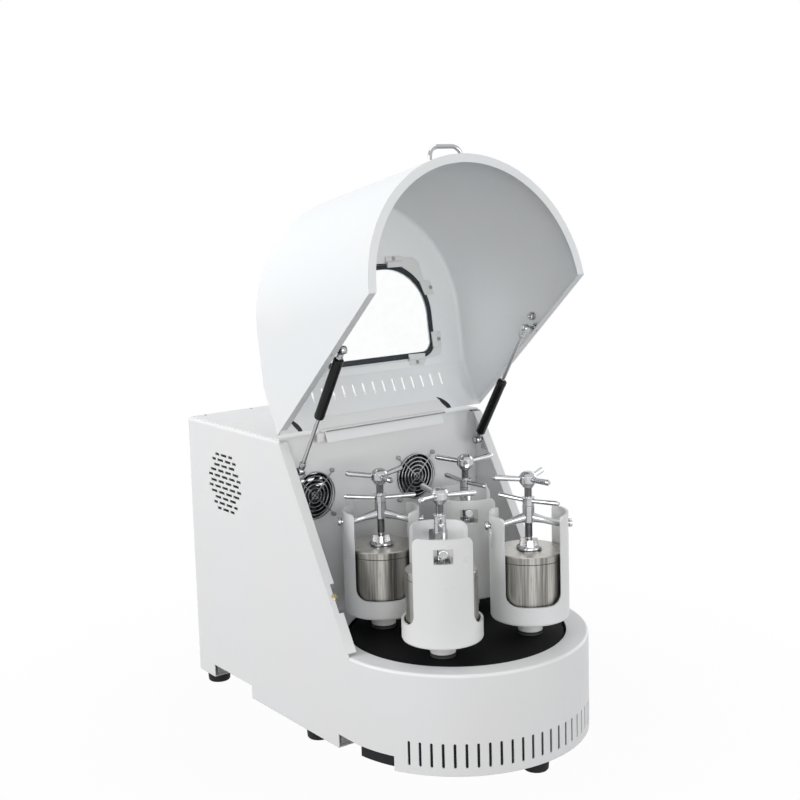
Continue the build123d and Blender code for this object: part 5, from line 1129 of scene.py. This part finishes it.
def add_world():
    """White backdrop, which metal and glass show too, and soft plain light for matt surfaces."""
    world = bpy.data.worlds.new("studio")
    bpy.context.scene.world = world
    world.use_nodes = True
    tree = world.node_tree
    tree.nodes.clear()
    link = tree.links.new
    out = tree.nodes.new("ShaderNodeOutputWorld")
    rays = tree.nodes.new("ShaderNodeLightPath")
    sky = tree.nodes.new("ShaderNodeBackground")
    sky.inputs["Color"].default_value = (0.965, 0.985, 1.0, 1)
    sky.inputs["Strength"].default_value = SKY
    plain = tree.nodes.new("ShaderNodeBackground")
    plain.inputs["Color"].default_value = (1, 1, 1, 1)
    plain.inputs["Strength"].default_value = 1.0
    seen = tree.nodes.new("ShaderNodeMath")
    seen.operation = "MAXIMUM"
    link(rays.outputs["Is Camera Ray"], seen.inputs[0])
    link(rays.outputs["Is Transmission Ray"], seen.inputs[1])
    also = tree.nodes.new("ShaderNodeMath")
    also.operation = "MAXIMUM"
    link(seen.outputs[0], also.inputs[0])
    link(rays.outputs["Is Glossy Ray"], also.inputs[1])
    mixer = tree.nodes.new("ShaderNodeMixShader")
    link(also.outputs[0], mixer.inputs[0])
    link(sky.outputs[0], mixer.inputs[1])
    link(plain.outputs[0], mixer.inputs[2])
    link(mixer.outputs[0], out.inputs["Surface"])


def add_floor():
    """Pale floor that keeps a soft shadow and fades to the white backdrop."""
    bm = bmesh.new()
    lathe_into(bm, [(0.0, 0.0), (1.2, 0.0), (6.0, 0.0)], Matrix.Translation((0, 0, -0.0002)), 96)
    mesh = mesh_from("floor", bm)
    floor = bpy.data.objects.new("floor", mesh)
    bpy.context.scene.collection.objects.link(floor)
    m = Maker("floor_white")
    rays = m.add("ShaderNodeLightPath")
    seen = m.math("MAXIMUM", rays.outputs["Is Camera Ray"], rays.outputs["Is Transmission Ray"])
    seen = m.math("MAXIMUM", seen, rays.outputs["Is Glossy Ray"])
    grain = m.noise(m.place, 40.0, 3.0)
    tone = m.mix(m.fit(grain, 0.3, 0.7), (0.80, 0.80, 0.80), (0.83, 0.83, 0.83))
    m.finish(Base_Color=tone, Roughness=0.7, Specular_IOR_Level=0.2)
    glow = m.add("ShaderNodeEmission")
    glow.inputs["Color"].default_value = (1, 1, 1, 1)
    glow.inputs["Strength"].default_value = 1.0
    reach = m.vector("LENGTH", m.place)
    fade = m.fit(reach, 0.40, 0.95, 0.975, 1.0)
    share = m.math("MULTIPLY", seen, fade)
    mixer = m.add("ShaderNodeMixShader")
    m.link(share, mixer.inputs[0])
    m.link(m.shader.outputs["BSDF"], mixer.inputs[1])
    m.link(glow.outputs[0], mixer.inputs[2])
    m.link(mixer.outputs[0], m.out.inputs["Surface"])
    mesh.materials.append(m.mat)
    floor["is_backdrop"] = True


add_camera()
add_world()
add_floor()
add_lamp("left_rear", (-3.2, 1.1, 1.35), (0, 0.0, 0.5), (2.2, 2.2), 78.0)
add_lamp("left_front", (-2.0, -2.7, 0.9), (0, 0.0, 0.6), (1.8, 1.4), 27.0)
add_lamp("front", (0.3, -3.3, 0.75), (0, 0.0, 0.6), (2.2, 1.4), 38.0)
add_lamp("right", (3.3, 0.2, 1.2), (0, 0.0, 0.5), (2.2, 2.2), 25.0)
add_lamp("top", (0.0, 0.6, 3.3), (0, 0.2, 0.5), (2.4, 2.4), 29.0)
bpy.context.scene.view_settings.view_transform = "Standard"


def as_lists(value):
    return float(value) if isinstance(value, (int, float)) else [as_lists(v) for v in value]


{"cad": as_lists(CAD_BOX), "visual": as_lists(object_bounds())}
